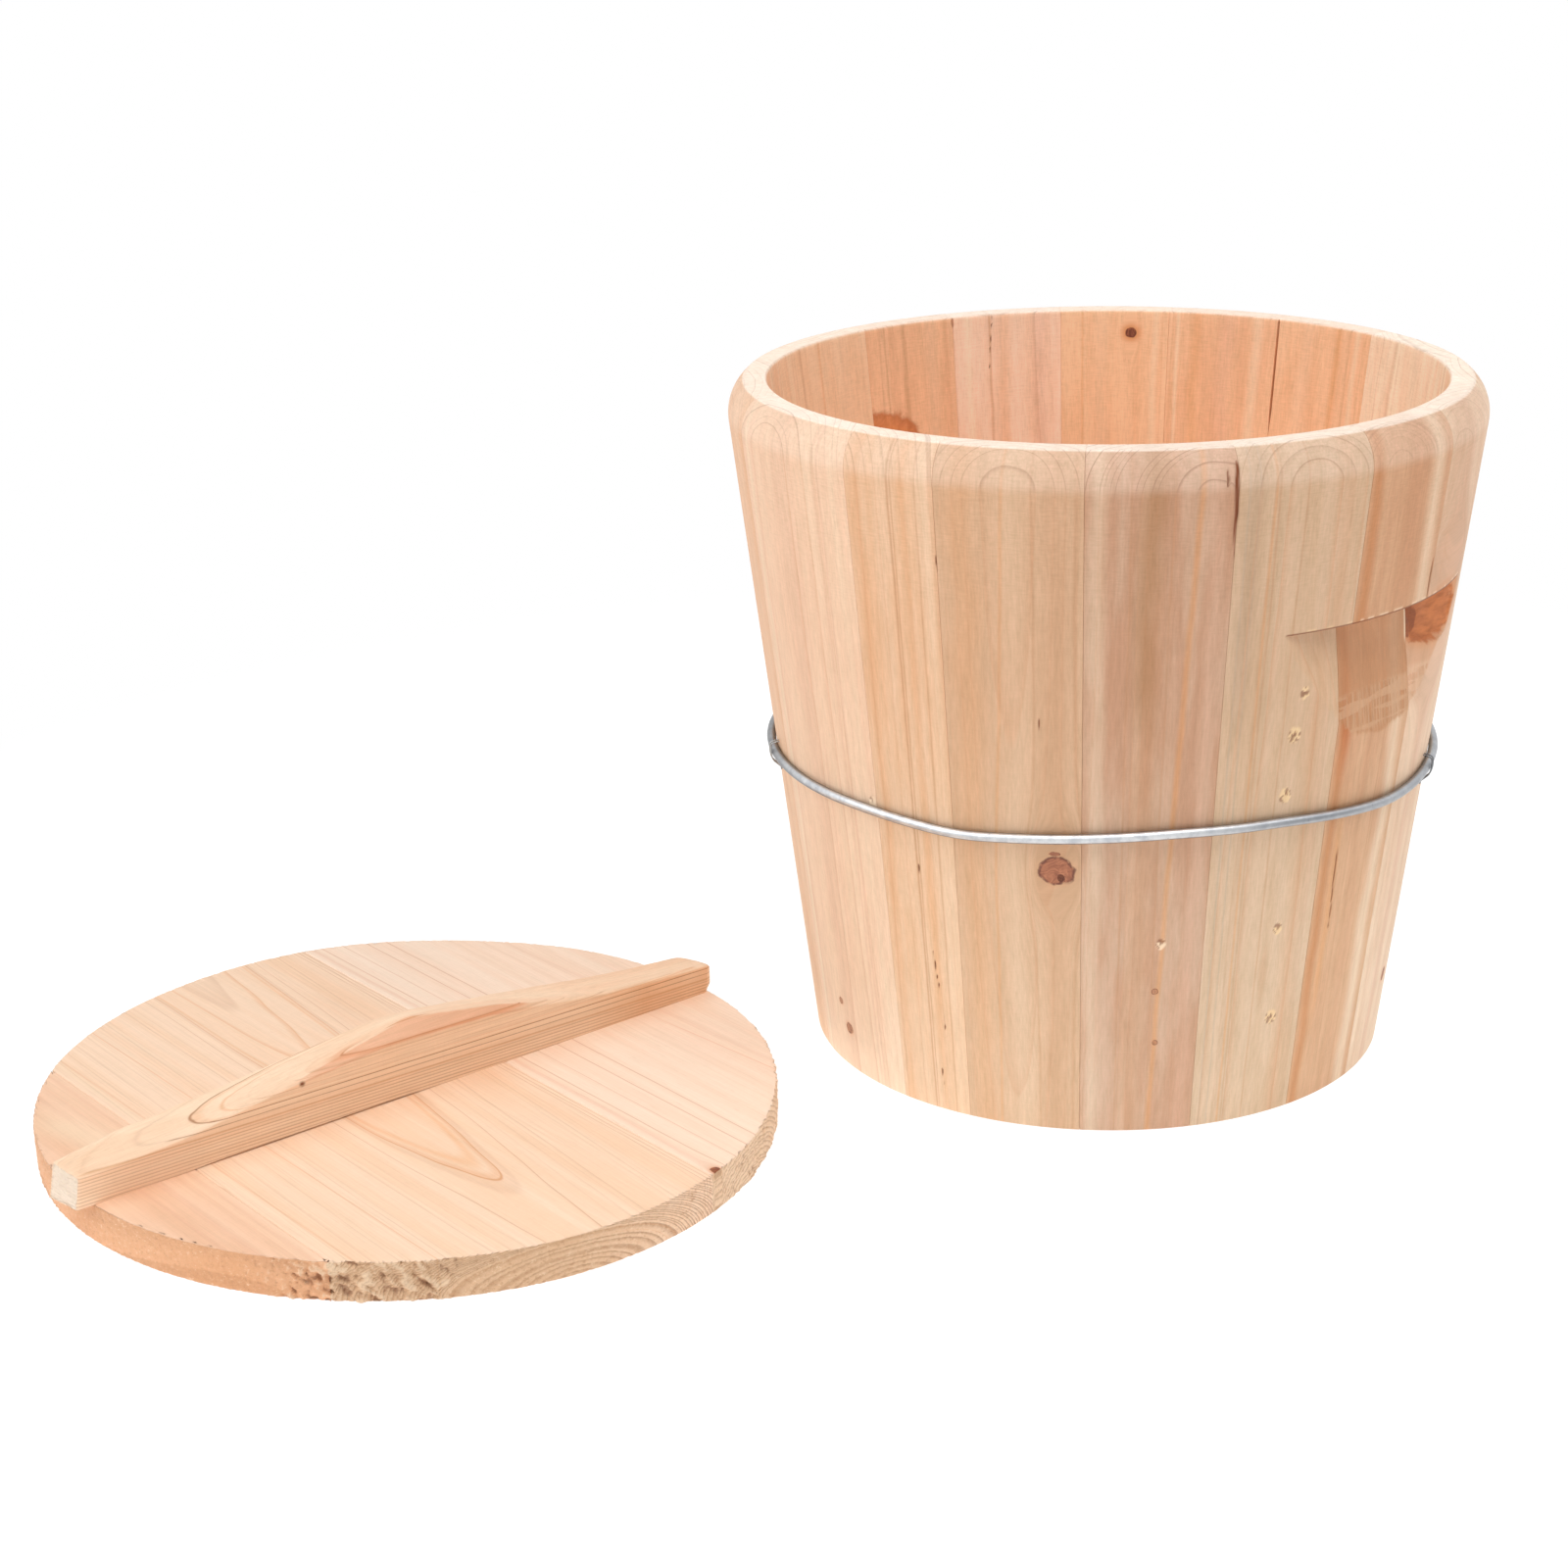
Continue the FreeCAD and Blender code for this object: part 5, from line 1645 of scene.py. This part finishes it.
def keeper_path(heading, lean):
    """A staple of thin wire over the hoop: out of the wall, down in front of the hoop, round in a half
    circle and up again, with soft corners."""
    at = hoop_height(np.array([heading]))[0]
    wire = settings().wire.keeper_radius / MM
    out = hoop_radius(at) + WIRE_RADIUS + wire + 0.25
    half = KEEPER_HALF
    top = at + KEEPER_ABOVE
    low = at - KEEPER_BELOW
    wall = outside(top)
    near = outside(low) + wire + 0.5
    left = [(wall - 6, -half, top), (wall + 1.2, -half, top), (out - 0.4, -half, top - 0.8),
            (out, -half, top - 2.2), (out, -half * 1.15, at), (out - 0.7, -half * 1.1, at - 3.2),
            (near, -half * 1.1, low)]
    turns = np.linspace(math.pi, 2 * math.pi, 9)[1:-1]
    bow = [(near, half * 1.1 * math.cos(turn), low + half * math.sin(turn)) for turn in turns]
    right = [(x, -y, z) for x, y, z in left[::-1]]
    knots = np.array(left + bow + right)
    spread = np.linspace(0, len(knots) - 1, 90)
    line = np.stack([np.interp(spread, np.arange(len(knots)), knots[:, axis]) for axis in range(3)], axis=1)
    for _ in range(3):
        line[1:-1] = (line[:-2] + 2 * line[1:-1] + line[2:]) / 4
    line[:, 1] += lean * (line[:, 2] - top)
    return np.stack([*laid(line[:, 0], line[:, 1], heading, (0, 0)), line[:, 2]], axis=1)


class FIRKIN_OT_keepers(Operator):
    """Makes the two thin wire staples that keep the hoop from sliding"""

    bl_idname = "firkin.keepers"
    bl_label = "Keepers"

    def execute(self, context):
        material = zinc_material("keeper_zinc", KEEPER_ZINC, 0.35)
        for node, (heading, lean) in KEEPER_PLACES.items():
            path = keeper_path(heading, lean)
            piece = tube("bent_" + node, path, settings().wire.keeper_radius / MM, 10, False)
            dress(piece, "bucket", "galvanised_wire", material, node)
        return {"FINISHED"}


# ---------------------------------------------------------------- hidden pieces that keep their CAD shape


class FIRKIN_OT_pins(Operator):
    """Gives the pins and nails inside the wood their materials"""

    bl_idname = "firkin.pins"
    bl_label = "Pins and nails"

    def execute(self, context):
        bamboo = dict(light=srgb(214, 190, 134), deep=srgb(200, 172, 112), pith=(0, 0, 0), width=1.0,
                      seed=51.0, late=0.3)
        pin_wood = wood("bamboo", bamboo, radial=False)
        nail_steel = zinc_material("nail_steel", srgb(160, 160, 162), 0.4)
        for node, material in (("stave_dowels", pin_wood), ("bottom_dowels", pin_wood),
                               ("lid_dowels", pin_wood), ("batten_nails", nail_steel)):
            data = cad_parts[node].data
            data.materials.clear()
            data.materials.append(material)
        return {"FINISHED"}


# ---------------------------------------------------------------- the stage

FLOOR_REACH = 40.0                   # metres to each side, like all lengths of the stage
WHITE = (1, 1, 1, 1)
# The lamps: name, place, what it faces, width and length, and power in watts.
LAMPS = (
    ("key", (-2.0, -0.6, 1.5), (0, 0, 0.12), (1.4, 1.4), 20),
    ("side", (1.6, -0.3, 1.8), (0, 0, 0.15), (1.4, 1.4), 13),
    ("top", (-0.1, -0.75, 2.3), (-0.05, 0.05, 0.2), (1.6, 1.4), 26),
)


def seen_rays(n):
    """1 for the rays of the camera and of mirror images, 0 for the rays that only carry light."""
    paths = n.add("LightPath").node.outputs
    mirrored = n.plus(paths["Is Glossy Ray"], paths["Is Transmission Ray"])
    return n.math("ADD", paths["Is Camera Ray"], mirrored, clamp=True)


def floor_material(color):
    """A pale floor that glows a little. What the camera sees of it is mostly plain white, so that the
    shadows stay faint, and all of it is white away from the object."""
    material, n = new_material("floor_paint")
    paint = n.add("BsdfPrincipled").node
    n.give(paint.inputs["Base Color"], (*color, 1))
    n.give(paint.inputs["Roughness"], 0.9)
    n.give(paint.inputs["Specular IOR Level"], 0.1)
    n.give(paint.inputs["Emission Color"], WHITE)
    n.give(paint.inputs["Emission Strength"], 0.6)
    glow = n.add("Emission", WHITE, 1.0)
    far = n.step(n.vector("LENGTH", n.add("TexCoord", output=3)), 0.35, 0.75)
    whiteness = n.math("MAXIMUM", 0.7, far)
    both = n.add("MixShader", n.times(seen_rays(n), whiteness), paint.outputs[0], glow)
    output = n.tree.nodes.new("ShaderNodeOutputMaterial")
    n.give(output.inputs[0], both)
    return material


def area_lamp(name, place, target, size, power):
    """A lamp that faces its target. It shines along its own -Z, so its +Z points away from the target."""
    lamp = bpy.data.lights.new(name, "AREA")
    lamp.shape = "RECTANGLE"
    lamp.size, lamp.size_y = size
    lamp.energy = power
    holder = bpy.data.objects.new(name, lamp)
    aim = Vector(place) - Vector(target)
    holder.matrix_world = Matrix.Translation(place) @ aim.to_track_quat("Z", "Y").to_matrix().to_4x4()
    bpy.context.scene.collection.objects.link(holder)


class FIRKIN_OT_stage(Operator):
    """Makes the floor, the lamps, the world and the camera"""

    bl_idname = "firkin.stage"
    bl_label = "Stage"

    def execute(self, context):
        stage = settings().stage
        corners = np.array([(-1, -1, 0), (1, -1, 0), (1, 1, 0), (-1, 1, 0)]) * FLOOR_REACH
        mesh = bpy.data.meshes.new("floor")
        mesh.from_pydata([tuple(corner) for corner in corners], [], [(0, 1, 2, 3)])
        floor = bpy.data.objects.new("floor", mesh)
        bpy.context.scene.collection.objects.link(floor)
        mesh.materials.append(floor_material(stage.floor_color))

        world = bpy.data.worlds.new("studio")
        world.use_nodes = True
        world.node_tree.nodes.clear()
        n = Nodes(world.node_tree)
        strength = n.plus(stage.sky, n.times(seen_rays(n), 1.0 - stage.sky))
        light = n.add("Background", WHITE, strength)
        output = world.node_tree.nodes.new("ShaderNodeOutputWorld")
        n.give(output.inputs[0], light)
        bpy.context.scene.world = world

        for lamp in LAMPS:
            area_lamp(*lamp)

        camera = bpy.data.cameras.new("camera")
        camera.sensor_width = 36.0
        camera.lens = stage.lens
        camera.clip_start = 0.05
        camera.shift_x = -0.0005
        camera.shift_y = 0.001
        holder = bpy.data.objects.new("camera", camera)
        bpy.context.scene.collection.objects.link(holder)
        tilt = Matrix.Rotation(math.pi / 2 - stage.camera_pitch, 4, "X")
        roll = Matrix.Rotation(-stage.camera_roll, 4, "Z")
        holder.matrix_world = Matrix.Translation(stage.camera_place) @ tilt @ roll
        bpy.context.scene.camera = holder
        bpy.context.scene.view_settings.view_transform = "Standard"
        return {"FINISHED"}


# ---------------------------------------------------------------- panel and registering


class FIRKIN_PT_panel(Panel):
    """Buttons for the firkin's pieces"""

    bl_idname = "FIRKIN_PT_panel"
    bl_label = "Firkin"
    bl_space_type = "VIEW_3D"
    bl_region_type = "UI"
    bl_category = "Firkin"

    def draw(self, context):
        for operator in OPERATORS:
            self.layout.operator(operator.bl_idname)


OPERATORS = (
    FIRKIN_OT_stage,
    FIRKIN_OT_staves,
    FIRKIN_OT_bottom_boards,
    FIRKIN_OT_hoop,
    FIRKIN_OT_keepers,
    FIRKIN_OT_lid_boards,
    FIRKIN_OT_batten,
    FIRKIN_OT_pins,
)
CLASSES = (WallSettings, WireSettings, LidSettings, StageSettings, FirkinSettings) + OPERATORS + (
    FIRKIN_PT_panel,)


def register():
    for kind in CLASSES:
        bpy.utils.register_class(kind)
    bpy.types.Scene.firkin = PointerProperty(type=FirkinSettings)


def unregister():
    del bpy.types.Scene.firkin
    for kind in reversed(CLASSES):
        bpy.utils.unregister_class(kind)


def main():
    register()
    for operator in OPERATORS:
        family, name = operator.bl_idname.split(".")
        getattr(getattr(bpy.ops, family), name)()


if __name__ == "__main__":
    main()
